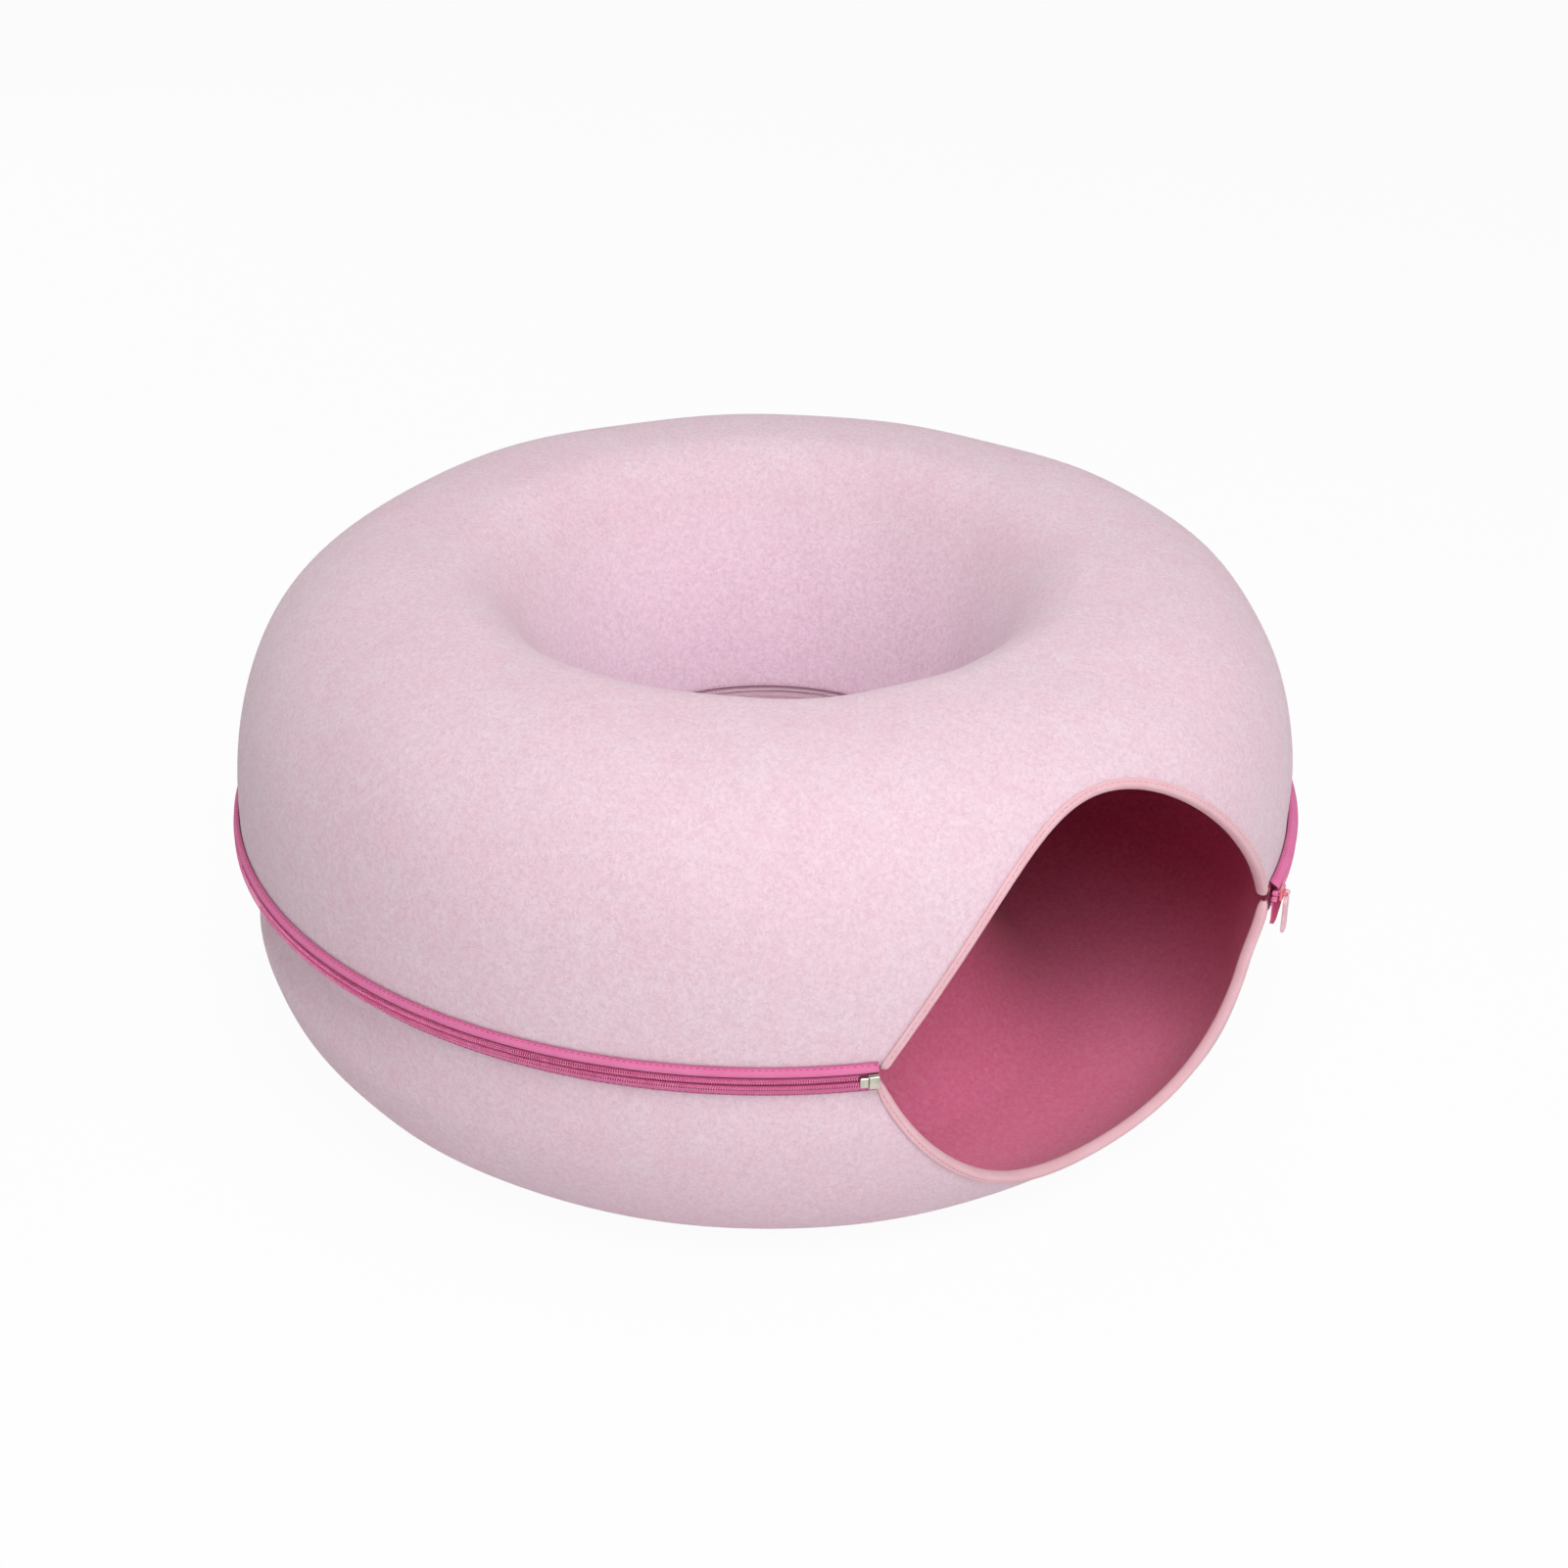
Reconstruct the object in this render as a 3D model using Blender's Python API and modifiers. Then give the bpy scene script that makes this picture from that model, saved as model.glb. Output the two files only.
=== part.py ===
# A felt donut cat tunnel: two half rings zipped together round the rim and round the well.
import math

import bmesh
import bpy

# Felt halves
FELT_RADIUS = 0.2935
CREST_RADIUS = 0.177
WELL_RADIUS = 0.107
HALF_HEIGHT = 0.140
FELT_THICKNESS = 0.004
RIM_FULLNESS = 2.56
WELL_FULLNESS = 1.92
BASE_FLATTENING = 0.0015
SEAM_BAND = 0.011
SLIDER_ROOM = 0.0055
RING_STEP = 6.0
RIM_STEPS = 9
WELL_STEPS = 5

# Entrance through the rim
ENTRANCE_AZIMUTH = -45.0
ENTRANCE_HALF_WIDTH = 0.1315
FELT_ABOVE_ENTRANCE = 0.0295
FELT_BELOW_ENTRANCE = 0.0365
UPPER_ARCH_FULLNESS = 1.04
LOWER_ARCH_FULLNESS = 1.38
ARCH_STEPS = 30
CUT_OVERSHOOT = 0.003

# Binding folded over the entrance's edge
BINDING_LEG = 0.0045
BINDING_THICKNESS = 0.0009
BINDING_EASE = 0.0013
FOLD_EASE = 0.0006

# Zips
TAPE_REACH = 0.009
TAPE_THICKNESS = 0.0008
TAPE_PARTING = 0.0009
COIL_RADIUS = 0.0013
STOP_LENGTH = 0.0018
STOP_HEIGHT = 0.0029
RETAINER_LENGTH = 0.005
RETAINER_HALF_HEIGHT = 0.0034
RETAINER_DEPTH = 0.0034
PIN_THICKNESS = 0.001
PIN_HEIGHT = 0.0022
COLLAR_LENGTH = 0.004
COLLAR_DROP = 0.0024
WELL_ZIP_PARTING = 6.0

# Sliders and pulls
SLIDER_LENGTH = 0.0092
SLIDER_NOSE_WIDTH = 0.0088
SLIDER_TAIL_WIDTH = 0.0066
PLATE_THICKNESS = 0.0012
BACK_PLATE_THICKNESS = 0.0008
POST_THICKNESS = 0.0005
POST_LENGTH = 0.0026
FLANGE_THICKNESS = 0.0006
BRIDGE_SPAN = 0.0042
BRIDGE_LEG = 0.0009
BAR_RADIUS = 0.0007
EYE_WALL = 0.0006
EYE_PLAY = 0.0002
PULL_LENGTH = 0.0255
PULL_WIDTH = 0.0076
PULL_THICKNESS = 0.0018
PULL_SHOULDER = 0.0034

# Space kept between pieces that lie on each other
GAP = 0.0003

SEAM_HEIGHT = HALF_HEIGHT - BASE_FLATTENING
RING_STEPS = round(360.0 / RING_STEP)
COLOURS = {
    "felt": ((0.80, 0.62, 0.69), 0.95, 0.0),
    "binding": ((0.91, 0.46, 0.46), 0.85, 0.0),
    "tape": ((0.79, 0.10, 0.37), 0.80, 0.0),
    "coil": ((0.62, 0.08, 0.27), 0.45, 0.0),
    "well_tape": ((0.80, 0.52, 0.62), 0.80, 0.0),
    "well_coil": ((0.78, 0.46, 0.57), 0.45, 0.0),
    "slider": ((0.86, 0.36, 0.38), 0.40, 0.0),
    "retainer": ((0.62, 0.62, 0.58), 0.35, 1.0),
}


def clear_scene():
    for thing in list(bpy.data.objects):
        bpy.data.objects.remove(thing, do_unlink=True)


def make_collection(name):
    group = bpy.data.collections.new(name)
    bpy.context.scene.collection.children.link(group)
    return group


def make_material(name):
    colour, roughness, metallic = COLOURS[name]
    material = bpy.data.materials.new(name)
    material.use_nodes = True
    shader = material.node_tree.nodes["Principled BSDF"]
    shader.inputs["Base Color"].default_value = (*colour, 1.0)
    shader.inputs["Roughness"].default_value = roughness
    shader.inputs["Metallic"].default_value = metallic
    material.diffuse_color = (*colour, 1.0)
    return material


clear_scene()
PARTS = make_collection("donut_cat_tunnel")
TOOLS = make_collection("tools")
MATERIALS = {name: make_material(name) for name in COLOURS}


def add_object(name, data, slot, height=SEAM_HEIGHT, azimuth=0.0, parent=None):
    piece = bpy.data.objects.new(name, data)
    data.materials.append(MATERIALS[slot])
    PARTS.objects.link(piece)
    if parent is None:
        piece.location.z = height
        piece.rotation_euler.z = math.radians(azimuth)
    piece.parent = parent
    return piece


def add_axis(name, location, azimuth=0.0, parent=None):
    # An empty on a joint's axis, which carries what turns on it.
    axis = bpy.data.objects.new(name, None)
    axis.empty_display_size = 0.02
    axis.location = location
    axis.rotation_euler.z = math.radians(azimuth)
    axis.parent = parent
    PARTS.objects.link(axis)
    return axis


def as_tool(piece):
    for group in list(piece.users_collection):
        group.objects.unlink(piece)
    TOOLS.objects.link(piece)
    piece.hide_render = True
    piece.display_type = "WIRE"
    return piece


def shade(mesh, angle=35.0):
    mesh.shade_smooth()
    mesh.set_sharp_from_angle(angle=math.radians(angle))


def combine(piece, tool, operation):
    modifier = piece.modifiers.new(operation.lower(), "BOOLEAN")
    modifier.operation = operation
    modifier.object = tool
    modifier.solver = "EXACT"


# The felt's section is two quarter ovals that meet at the crest, each as full as its exponent.

def oval_height(angle, fullness):
    return HALF_HEIGHT * math.sin(angle) ** (2.0 / fullness)


def oval_reach(angle, fullness):
    return max(math.cos(angle), 0.0) ** (2.0 / fullness)


def oval_angle(height, fullness):
    return math.asin((height / HALF_HEIGHT) ** (fullness / 2.0))


def well_points():
    # From the well's seam up to the crest, straight as far as the sewn band goes.
    first = oval_angle(SEAM_BAND, WELL_FULLNESS)
    points = [(WELL_RADIUS, SLIDER_ROOM), (WELL_RADIUS, SEAM_BAND)]
    for step in range(1, WELL_STEPS + 1):
        angle = first + (math.pi / 2 - first) * step / WELL_STEPS
        radius = CREST_RADIUS - (CREST_RADIUS - WELL_RADIUS) * oval_reach(angle, WELL_FULLNESS)
        points.append((radius, oval_height(angle, WELL_FULLNESS)))
    return points


def rim_points():
    # From just past the crest down to the rim's seam.
    first = oval_angle(SEAM_BAND, RIM_FULLNESS)
    points = []
    for step in range(RIM_STEPS - 1, 0, -1):
        angle = first + (math.pi / 2 - first) * step / RIM_STEPS
        radius = CREST_RADIUS + (FELT_RADIUS - CREST_RADIUS) * oval_reach(angle, RIM_FULLNESS)
        points.append((radius, oval_height(angle, RIM_FULLNESS)))
    return points + [(FELT_RADIUS, SEAM_BAND), (FELT_RADIUS, SLIDER_ROOM)]


def settled_profile(profile):
    # The lower half turned over, with a flat ring where its crest rests on the floor.
    settled = HALF_HEIGHT - BASE_FLATTENING
    kept = [point for point in profile if point[1] < settled - 2.0 * BASE_FLATTENING]
    well_part = [point for point in kept if point[0] < CREST_RADIUS]
    rim_part = [point for point in kept if point[0] > CREST_RADIUS]
    level = settled / HALF_HEIGHT
    well_reach = (1.0 - level ** WELL_FULLNESS) ** (1.0 / WELL_FULLNESS)
    rim_reach = (1.0 - level ** RIM_FULLNESS) ** (1.0 / RIM_FULLNESS)
    ring = [(CREST_RADIUS - (CREST_RADIUS - WELL_RADIUS) * well_reach, settled),
            (CREST_RADIUS + (FELT_RADIUS - CREST_RADIUS) * rim_reach, settled)]
    return [(radius, -height) for radius, height in reversed(well_part + ring + rim_part)]


def add_shell(name, side, entrance):
    # One mould makes both halves.
    profile = well_points() + rim_points()
    if side < 0:
        profile = settled_profile(profile)
    mesh = bpy.data.meshes.new(name)
    spine = [(radius, 0.0, height) for radius, height in profile]
    mesh.from_pydata(spine, [(i, i + 1) for i in range(len(spine) - 1)], [])
    shell = add_object(name, mesh, "felt")
    screw = shell.modifiers.new("turn", "SCREW")
    screw.axis = "Z"
    screw.angle = math.tau
    screw.steps = RING_STEPS
    screw.render_steps = RING_STEPS
    screw.use_merge_vertices = True
    screw.merge_threshold = 0.00001
    screw.use_smooth_shade = True
    wall = shell.modifiers.new("felt", "SOLIDIFY")
    wall.thickness = FELT_THICKNESS
    wall.offset = -1.0
    wall.use_even_offset = True
    combine(shell, entrance, "DIFFERENCE")
    return shell


def rim_radius(height):
    if abs(height) <= SEAM_BAND:
        return FELT_RADIUS
    share = 1.0 - (abs(height) / HALF_HEIGHT) ** RIM_FULLNESS
    return CREST_RADIUS + (FELT_RADIUS - CREST_RADIUS) * share ** (1.0 / RIM_FULLNESS)


def rim_place(side, height, depth):
    # A place on the rim's outer face, sideways from the entrance's centre line and above the
    # seam, then moved along the face's normal. Local +X points out through the entrance.
    radius = rim_radius(height)
    if abs(height) <= SEAM_BAND:
        outward, upward = 1.0, 0.0
    else:
        reach = (radius - CREST_RADIUS) / (FELT_RADIUS - CREST_RADIUS)
        outward = reach ** (RIM_FULLNESS - 1.0) / (FELT_RADIUS - CREST_RADIUS)
        upward = (abs(height) / HALF_HEIGHT) ** (RIM_FULLNESS - 1.0) / HALF_HEIGHT
        length = math.hypot(outward, upward)
        outward = outward / length
        upward = math.copysign(upward / length, height)
    along = math.sqrt(radius * radius - side * side)
    grown = 1.0 + depth * outward / radius
    return (along * grown, side * grown, height + depth * upward)


def arch_size(upper):
    if upper:
        return HALF_HEIGHT - FELT_ABOVE_ENTRANCE, UPPER_ARCH_FULLNESS
    return -(HALF_HEIGHT - FELT_BELOW_ENTRANCE), LOWER_ARCH_FULLNESS


def arch_point(angle, upper):
    # Round at the top and drawn to a corner at the zip, more so the lower the fullness.
    rise, fullness = arch_size(upper)
    return ENTRANCE_HALF_WIDTH * math.cos(angle), rise * max(math.sin(angle), 0.0) ** (2.0 / fullness)


def arch_outward(side, height, upper):
    # The direction that leaves the entrance square to its outline.
    rise, fullness = arch_size(upper)
    across = 2.0 * side / ENTRANCE_HALF_WIDTH ** 2
    along = fullness * (height / rise) ** (fullness - 1.0) / rise
    length = math.hypot(across, along)
    return across / length, along / length


def loft(name, rings, slot, azimuth):
    # Skins a closed ring of points to the next and closes both ends.
    sheet = bmesh.new()
    rows = [[sheet.verts.new(point) for point in ring] for ring in rings]
    count = len(rings[0])
    for row, following in zip(rows, rows[1:]):
        for i in range(count):
            j = (i + 1) % count
            sheet.faces.new((row[i], row[j], following[j], following[i]))
    sheet.faces.new(rows[0][::-1])
    sheet.faces.new(rows[-1])
    bmesh.ops.recalc_face_normals(sheet, faces=sheet.faces)
    mesh = bpy.data.meshes.new(name)
    sheet.to_mesh(mesh)
    sheet.free()
    shade(mesh)
    return add_object(name, mesh, slot, azimuth=azimuth)


def add_entrance_cutter():
    # The cut runs square to the felt, so its wall follows the face's normals.
    turns = [math.pi * step / ARCH_STEPS for step in range(ARCH_STEPS)]
    outline = [arch_point(angle, True) for angle in turns]
    for angle in turns:
        side, height = arch_point(angle, False)
        outline.append((-side, height))
    shares = (0.05, 0.3, 0.55, 0.8, 1.0)
    outer = CUT_OVERSHOOT
    inner = -(FELT_THICKNESS + BINDING_EASE + CUT_OVERSHOOT)
    rings = []
    for depth, order in ((outer, shares), (inner, shares[::-1])):
        for share in order:
            rings.append([rim_place(side * share, height * share, depth) for side, height in outline])
    return as_tool(loft("entrance_cutter", rings, "felt", ENTRANCE_AZIMUTH))


def add_binding(name, upper):
    # A strip folded round the cut edge: two legs on the felt's faces and a rounded fold.
    rise, fullness = arch_size(upper)
    back = -(FELT_THICKNESS + BINDING_EASE)
    skin = BINDING_THICKNESS
    section = [
        (BINDING_LEG, GAP), (BINDING_LEG, GAP + skin),
        (0.0, GAP + skin), (-FOLD_EASE - skin, GAP - skin),
        (-FOLD_EASE - skin, back + skin), (0.0, back - skin),
        (BINDING_LEG, back - skin), (BINDING_LEG, back),
        (-FOLD_EASE, back), (-FOLD_EASE, GAP),
    ]
    # It reaches the seam beside the slider, and ends above the tape that runs on to the retainer.
    first = math.asin(((SLIDER_ROOM + GAP) / abs(rise)) ** (fullness / 2.0))
    last = math.pi - math.asin(((TAPE_REACH + GAP) / abs(rise)) ** (fullness / 2.0))
    turns = [math.pi * step / ARCH_STEPS for step in range(ARCH_STEPS)]
    turns = [first] + [angle for angle in turns if first < angle < last] + [last]
    rings = []
    for angle in turns:
        side, height = arch_point(angle, upper)
        across, along = arch_outward(side, height, upper)
        here = rim_place(side, height, 0.0)
        there = rim_place(side + across * GAP, height + along * GAP, 0.0)
        stretch = math.dist(here, there) / GAP
        ring = []
        for reach, depth in section:
            flat = reach / stretch
            ring.append(rim_place(side + across * flat, height + along * flat, depth))
        rings.append(ring)
    return loft(name, rings, "binding", ENTRANCE_AZIMUTH)


# The zips lie on the felt's ring, which has a flat every RING_STEP degrees.

def ring_angles(first, last):
    inner = [RING_STEP * k for k in range(math.ceil(first / RING_STEP), math.floor(last / RING_STEP) + 1)]
    inner = [angle for angle in inner if first + 0.05 < angle < last - 0.05]
    return [first] + inner + [last]


def ring_point(radius, angle, height):
    middle = (math.floor(angle / RING_STEP) + 0.5) * RING_STEP
    flat = math.cos(math.radians(RING_STEP / 2)) / math.cos(math.radians(angle - middle))
    turn = math.radians(angle)
    return (radius * flat * math.cos(turn), radius * flat * math.sin(turn), height)


def ring_curve(name, radius, first, last, height):
    path = bpy.data.curves.new(name, "CURVE")
    path.dimensions = "3D"
    angles = ring_angles(first, last)
    spline = path.splines.new("POLY")
    spline.points.add(len(angles) - 1)
    for point, angle in zip(spline.points, angles):
        point.co = (*ring_point(radius, angle, height), 1.0)
    return path


def add_tape(name, slot, radius, first, last, near, far):
    path = ring_curve(name, radius, first, last, (near + far) / 2)
    path.dimensions = "2D"
    path.fill_mode = "NONE"
    path.extrude = abs(far - near) / 2
    tape = add_object(name, path, slot)
    tape.location.z = SEAM_HEIGHT + (near + far) / 2
    weave = tape.modifiers.new("weave", "SOLIDIFY")
    weave.thickness = TAPE_THICKNESS
    weave.offset = 0.0
    return tape


def add_coil(name, slot, radius, first, last, height):
    path = ring_curve(name, radius, first, last, height)
    path.bevel_depth = COIL_RADIUS
    path.bevel_resolution = 1
    path.use_fill_caps = True
    return add_object(name, path, slot)


def block(low, high):
    # A cube primitive brought to two opposite corners.
    solid = bmesh.new()
    bmesh.ops.create_cube(solid, size=1.0)
    for vert in solid.verts:
        for k in range(3):
            vert.co[k] = (low[k] + high[k]) / 2 + vert.co[k] * abs(high[k] - low[k])
    return solid


def rod(radius, centre, length, sides=12):
    # A cylinder along the tangent.
    solid = bmesh.new()
    bmesh.ops.create_cone(solid, cap_ends=True, segments=sides, radius1=radius, radius2=radius, depth=length)
    for vert in solid.verts:
        x, y, z = vert.co
        vert.co = (centre[0] + x, centre[1] + z, centre[2] + y)
    bmesh.ops.recalc_face_normals(solid, faces=solid.faces)
    return solid


def add_solid(name, solid, slot, parent, fillet=0.0):
    mesh = bpy.data.meshes.new(name)
    solid.to_mesh(mesh)
    solid.free()
    piece = add_object(name, mesh, slot, parent=parent)
    if fillet > 0.0:
        edge = piece.modifiers.new("edge", "BEVEL")
        edge.width = fillet
        edge.segments = 1
    return piece


def plate(inner, outer, nose, tail, length):
    # A slider's plate, broad at the nose and narrower at the tail, with cut corners.
    corner = 0.2 * length
    half = length / 2
    outline = [
        (-half, nose / 2 - corner), (-half + corner, nose / 2), (0.0, nose / 2),
        (half - corner, tail / 2), (half, tail / 2 - corner),
    ]
    outline += [(y, -z) for y, z in reversed(outline)]
    solid = bmesh.new()
    face = solid.faces.new([solid.verts.new((inner, y, z)) for y, z in outline])
    lifted = bmesh.ops.extrude_face_region(solid, geom=[face])
    for part in lifted["geom"]:
        if isinstance(part, bmesh.types.BMVert):
            part.co.x = outer
    bmesh.ops.recalc_face_normals(solid, faces=solid.faces)
    return solid


class Zip:
    # Radii of a zip's layers. Outward is +1 on the rim and -1 in the well, where the zip faces
    # the centre.
    def __init__(self, prefix, dye, back_radius, outward, first, last):
        self.prefix = prefix
        self.tape_slot = dye + "tape"
        self.coil_slot = dye + "coil"
        self.back = back_radius
        self.outward = outward
        self.first = first
        self.last = last
        self.sag = back_radius * (1.0 - math.cos(math.radians(RING_STEP / 2)))
        self.coil_front = TAPE_THICKNESS + GAP + 2.0 * COIL_RADIUS
        self.plate_inner = self.coil_front + GAP + self.sag
        self.plate_outer = self.plate_inner + PLATE_THICKNESS
        self.pivot = self.plate_outer + GAP + EYE_WALL + EYE_PLAY + BAR_RADIUS
        self.tape_edge = TAPE_PARTING / 2

    def at(self, depth):
        return self.back + self.outward * depth

    def degrees(self, length):
        return math.degrees(length / self.back)


def add_slider(zipper, half_axis):
    centre = zipper.first + zipper.degrees(STOP_LENGTH + GAP + SLIDER_LENGTH / 2 + GAP)
    axis = add_axis(zipper.prefix + "_slider_axis", (0.0, 0.0, SEAM_HEIGHT), centre, half_axis)
    name = zipper.prefix + "_slider"
    front = plate(zipper.at(zipper.plate_inner), zipper.at(zipper.plate_outer),
                  SLIDER_NOSE_WIDTH, SLIDER_TAIL_WIDTH, SLIDER_LENGTH)
    slider = add_solid(name, front, "slider", axis)
    rear_outer = -GAP - zipper.sag
    rear_inner = rear_outer - BACK_PLATE_THICKNESS
    bite = PLATE_THICKNESS / 3
    post_start = -SLIDER_LENGTH / 2 + POST_LENGTH / 2
    post = block((zipper.at(rear_inner + bite), post_start, -POST_THICKNESS / 2),
                 (zipper.at(zipper.plate_inner + bite), post_start + POST_LENGTH, POST_THICKNESS / 2))
    flange_top = -(zipper.tape_edge + 2.0 * COIL_RADIUS + GAP)
    flange = block((zipper.at(TAPE_THICKNESS + GAP + zipper.sag), -SLIDER_LENGTH / 4, flange_top),
                   (zipper.at(zipper.plate_inner + bite), SLIDER_LENGTH / 4, flange_top - FLANGE_THICKNESS))
    rear = plate(zipper.at(rear_inner), zipper.at(rear_outer),
                 SLIDER_NOSE_WIDTH, SLIDER_TAIL_WIDTH, SLIDER_LENGTH)
    bar = rod(BAR_RADIUS, (zipper.at(zipper.pivot), 0.0, 0.0), BRIDGE_SPAN + 2.0 * BRIDGE_LEG)
    pieces = {"post": post, "flange": flange, "rear": rear, "bar": bar}
    for end in (-1, 1):
        inner = end * BRIDGE_SPAN / 2
        pieces["leg" + str(end)] = block(
            (zipper.at(zipper.plate_outer - bite), inner, -BAR_RADIUS),
            (zipper.at(zipper.pivot + BAR_RADIUS / 2), inner + end * BRIDGE_LEG, BAR_RADIUS))
    for label, solid in pieces.items():
        tool = as_tool(add_solid(name + "_" + label, solid, "slider", axis))
        combine(slider, tool, "UNION")
    add_pull(zipper, axis)


def add_pull(zipper, slider_axis):
    # The tab hangs from an eye round the bridge's bar.
    hinge = add_axis(zipper.prefix + "_pull_axis", (zipper.at(zipper.pivot), 0.0, 0.0), 0.0, slider_axis)
    name = zipper.prefix + "_pull"
    bore = BAR_RADIUS + EYE_PLAY
    eye_radius = bore + EYE_WALL
    neck = BRIDGE_SPAN / 2 - GAP
    half = PULL_WIDTH / 2
    foot = -PULL_LENGTH
    outline = [(neck, -bore), (neck, -PULL_SHOULDER + half - neck), (half, -PULL_SHOULDER - half + neck)]
    arc = [math.pi / 2 * k / 5 for k in range(6)]
    outline += [(half * math.cos(a), foot + half - half * math.sin(a)) for a in arc]
    outline += [(-y, z) for y, z in reversed(outline) if y > half * 0.01]
    tab = bmesh.new()
    face = tab.faces.new([tab.verts.new((-PULL_THICKNESS / 2, y, z)) for y, z in outline])
    lifted = bmesh.ops.extrude_face_region(tab, geom=[face])
    for part in lifted["geom"]:
        if isinstance(part, bmesh.types.BMVert):
            part.co.x = PULL_THICKNESS / 2
    bmesh.ops.recalc_face_normals(tab, faces=tab.faces)
    pull = add_solid(name, tab, "slider", hinge)
    eye = as_tool(add_solid(name + "_eye", rod(eye_radius, (0.0, 0.0, 0.0), 2.0 * neck), "slider", hinge))
    combine(pull, eye, "UNION")
    hole = as_tool(add_solid(name + "_bore", rod(bore, (0.0, 0.0, 0.0), 2.0 * PULL_WIDTH), "slider", hinge))
    combine(pull, hole, "DIFFERENCE")


def add_zip(zipper):
    prefix = zipper.prefix
    edge = zipper.tape_edge
    tape_middle = zipper.at(TAPE_THICKNESS / 2)
    coil_middle = zipper.at(TAPE_THICKNESS + GAP + COIL_RADIUS)
    stop = zipper.degrees(STOP_LENGTH + 2.0 * GAP)
    fastened = zipper.degrees(RETAINER_LENGTH + COLLAR_LENGTH + 2.0 * GAP)
    for word, side in (("upper", 1), ("lower", -1)):
        add_tape(prefix + "_" + word + "_tape", zipper.tape_slot, tape_middle,
                 zipper.first, zipper.last, side * edge, side * TAPE_REACH)
        add_coil(prefix + "_" + word + "_coil", zipper.coil_slot, coil_middle,
                 zipper.first + stop, zipper.last - fastened, side * (edge + COIL_RADIUS))
        centre = zipper.first + zipper.degrees(GAP + STOP_LENGTH / 2)
        place = add_axis(prefix + "_" + word + "_stop_place", (0.0, 0.0, SEAM_HEIGHT), centre)
        stop_block = block(
            (zipper.at(TAPE_THICKNESS + GAP), -STOP_LENGTH / 2, side * edge),
            (zipper.at(zipper.coil_front), STOP_LENGTH / 2, side * (edge + STOP_HEIGHT)))
        add_solid(prefix + "_" + word + "_top_stop", stop_block, zipper.coil_slot, place, fillet=GAP)
    add_retainer(zipper)
    add_slider(zipper, None)


def add_retainer(zipper):
    # The box is on the lower tape. The pin and its collar are on the upper one, and the pin
    # lies in a channel that is open at the box's top.
    centre = zipper.last - zipper.degrees(RETAINER_LENGTH / 2)
    place = add_axis(zipper.prefix + "_retainer_place", (0.0, 0.0, SEAM_HEIGHT), centre)
    half = RETAINER_LENGTH / 2
    low = TAPE_THICKNESS + GAP + zipper.sag
    high = low + RETAINER_DEPTH
    middle = (low + high) / 2
    box = block((zipper.at(low), -half, -RETAINER_HALF_HEIGHT), (zipper.at(high), half, RETAINER_HALF_HEIGHT))
    retainer = add_solid(zipper.prefix + "_retainer_box", box, "retainer", place, fillet=GAP)
    room = PIN_THICKNESS / 2 + GAP
    channel = block((zipper.at(middle - room), -2.0 * half, 0.0),
                    (zipper.at(middle + room), 2.0 * half, 2.0 * RETAINER_HALF_HEIGHT))
    tool = as_tool(add_solid(zipper.prefix + "_channel", channel, "retainer", place))
    combine(retainer, tool, "DIFFERENCE")
    blade = block((zipper.at(middle - PIN_THICKNESS / 2), -half - GAP - COLLAR_LENGTH / 2, GAP),
                  (zipper.at(middle + PIN_THICKNESS / 2), half - GAP, GAP + PIN_HEIGHT))
    pin = add_solid(zipper.prefix + "_insertion_pin", blade, "retainer", place)
    collar = block((zipper.at(low), -half - GAP - COLLAR_LENGTH, -COLLAR_DROP),
                   (zipper.at(high - GAP), -half - GAP, STOP_HEIGHT))
    tool = as_tool(add_solid(zipper.prefix + "_collar", collar, "retainer", place, fillet=GAP))
    combine(pin, tool, "UNION")


def build():
    entrance = add_entrance_cutter()
    add_shell("upper_shell", 1, entrance)
    add_shell("lower_shell", -1, entrance)
    add_binding("upper_entrance_binding", True)
    add_binding("lower_entrance_binding", False)
    # The rim's zip starts where the binding's legs end, and closes at the entrance's other edge.
    start = math.degrees(math.asin((ENTRANCE_HALF_WIDTH + BINDING_LEG - GAP) / FELT_RADIUS))
    finish = 360.0 - math.degrees(math.asin((ENTRANCE_HALF_WIDTH + GAP) / FELT_RADIUS))
    add_zip(Zip("rim", "", FELT_RADIUS + GAP, 1, ENTRANCE_AZIMUTH + start, ENTRANCE_AZIMUTH + finish))
    # The well's tapes are sewn behind the felt, so that its zip lies between the two edges.
    back = WELL_RADIUS + FELT_THICKNESS + GAP + TAPE_THICKNESS
    start = ENTRANCE_AZIMUTH + WELL_ZIP_PARTING / 2
    add_zip(Zip("well", "well_", back, -1, start, start + 360.0 - WELL_ZIP_PARTING))


build()
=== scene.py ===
import math

import bpy
import numpy as np
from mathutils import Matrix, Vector


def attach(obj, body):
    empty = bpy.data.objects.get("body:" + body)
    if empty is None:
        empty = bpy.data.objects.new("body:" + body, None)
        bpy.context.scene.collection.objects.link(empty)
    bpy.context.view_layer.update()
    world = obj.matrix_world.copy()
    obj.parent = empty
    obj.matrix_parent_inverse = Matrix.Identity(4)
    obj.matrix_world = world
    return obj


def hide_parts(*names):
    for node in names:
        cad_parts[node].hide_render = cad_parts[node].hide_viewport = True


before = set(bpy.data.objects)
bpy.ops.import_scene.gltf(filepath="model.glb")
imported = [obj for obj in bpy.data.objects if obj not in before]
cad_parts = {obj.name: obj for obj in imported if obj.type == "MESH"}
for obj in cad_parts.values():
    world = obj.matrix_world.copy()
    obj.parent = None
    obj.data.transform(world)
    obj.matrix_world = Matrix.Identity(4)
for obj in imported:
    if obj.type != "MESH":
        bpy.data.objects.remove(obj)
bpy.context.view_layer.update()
print("frame loaded:", len(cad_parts), "nodes")

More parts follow.
